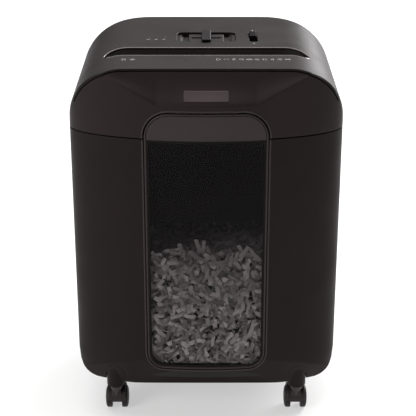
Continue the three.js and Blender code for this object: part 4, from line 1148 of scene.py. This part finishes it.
def finish_cad_nodes():
    """Each inner piece takes the first finish whose word is in its name, and softened edges."""
    for name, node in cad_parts.items():
        if node.hide_render:
            continue
        finish = next((found for word, found in CAD_FINISHES.items() if word in name), "inner_black")
        node.data.materials.clear()
        node.data.materials.append(FINISH[finish])
        for polygon in node.data.polygons:
            polygon.use_smooth = True
        softened = node.modifiers.new("softened", "BEVEL")
        softened.width = 0.35 * MM
        softened.segments = 2
        softened.limit_method = "ANGLE"
        softened.angle_limit = math.radians(32)
        softened.harden_normals = True


# ---- the build ----

ROOT = "cabinet_and_head"
CASTERS = (("front_left", -CASTER_X, -CASTER_Y), ("front_right", CASTER_X, -CASTER_Y),
           ("rear_left", -CASTER_X, CASTER_Y), ("rear_right", CASTER_X, CASTER_Y))

# Name, colour, roughness, grain, variation, grain depth and specular level.
PLASTICS = (
    ("shell_black", (0.0076, 0.0048, 0.0050), 0.5, 1400.0, 0.12, 0.00003, 0.13),
    # The head's finish is the shell's black painted lighter: painted light on the head, which catches more
    # light from above.
    ("head_black_painted_light", (0.0105, 0.0066, 0.0069), 0.5, 1400.0, 0.12, 0.00003, 0.17),
    ("trim_gloss", (0.02, 0.015, 0.0155), 0.2, 1800.0, 0.1, 0.00001, 0.9),
    ("cover_black", (0.0066, 0.0044, 0.0046), 0.46, 1500.0, 0.1, 0.00003, 0.13),
    ("bezel_black", (0.02, 0.0142, 0.0147), 0.42, 1700.0, 0.08, 0.000015, 0.3),
    ("trim_black", (0.0022, 0.0018, 0.0018), 0.5, 1800.0, 0.15, 0.00002, 0.12),
    # This finish is also the painted shade inside the heap of shreds.
    ("inner_black", (0.008, 0.0075, 0.0075), 0.6, 900.0, 0.15, 0.00005, 0.3),
    ("lens_dark", (0.003, 0.0028, 0.0028), 0.35, 700.0, 0.2, 0.00001, 0.15),
    ("badge_grey", (0.034, 0.026, 0.0275), 0.4, 2400.0, 0.1, 0.00001, 0.3),
    ("marks_grey", (0.34, 0.31, 0.31), 0.6, 2400.0, 0.1, 0.00001, 0.3),
    ("nylon", (0.62, 0.59, 0.52), 0.5, 1200.0, 0.06, 0.00003, 0.5),
    ("board_green", (0.018, 0.1, 0.045), 0.4, 500.0, 0.3, 0.00008, 0.5),
    ("capacitor_grey", (0.15, 0.14, 0.14), 0.45, 900.0, 0.08, 0.00003, 0.5),
    ("gland_rubber", (0.012, 0.011, 0.011), 0.75, 1100.0, 0.15, 0.00006, 0.3),
    ("caster_plastic", (0.022, 0.0175, 0.018), 0.42, 1500.0, 0.1, 0.00002, 0.3),
    ("wheel_black", (0.006, 0.0055, 0.0055), 0.48, 1300.0, 0.2, 0.00003, 0.3),
)
# Name, colour, roughness and how the fine lines run.
METALS = (
    ("sheet_steel", (0.52, 0.52, 0.53), 0.36, (1.0, 14.0, 1.0)),
    ("cutter_steel", (0.34, 0.33, 0.32), 0.34, (12.0, 1.0, 1.0)),
    ("motor_steel", (0.42, 0.42, 0.43), 0.4, (1.0, 1.0, 9.0)),
    ("bronze", (0.5, 0.34, 0.15), 0.42, (8.0, 1.0, 1.0)),
    ("caster_steel", (0.5, 0.5, 0.51), 0.32, (10.0, 1.0, 1.0)),
)
FINISH = {"smoked_pane": smoked(), "shredded_paper": shredded()}
FINISH.update({row[0]: matte(*row) for row in PLASTICS})
FINISH.update({row[0]: brushed(*row) for row in METALS})

add_camera()
add_studio()
add_head_casing()
add_cover()
add_throat()
add_direction_switch()
add_lock()
add_lenses()
add_marks()
add_badge()
add_gland()
add_bin_front()
add_bezel()
add_window()
add_heap_core()
add_shreds()
add_cabinet()
for caster in CASTERS:
    add_fork(*caster)
    add_wheels(*caster)
finish_cad_nodes()
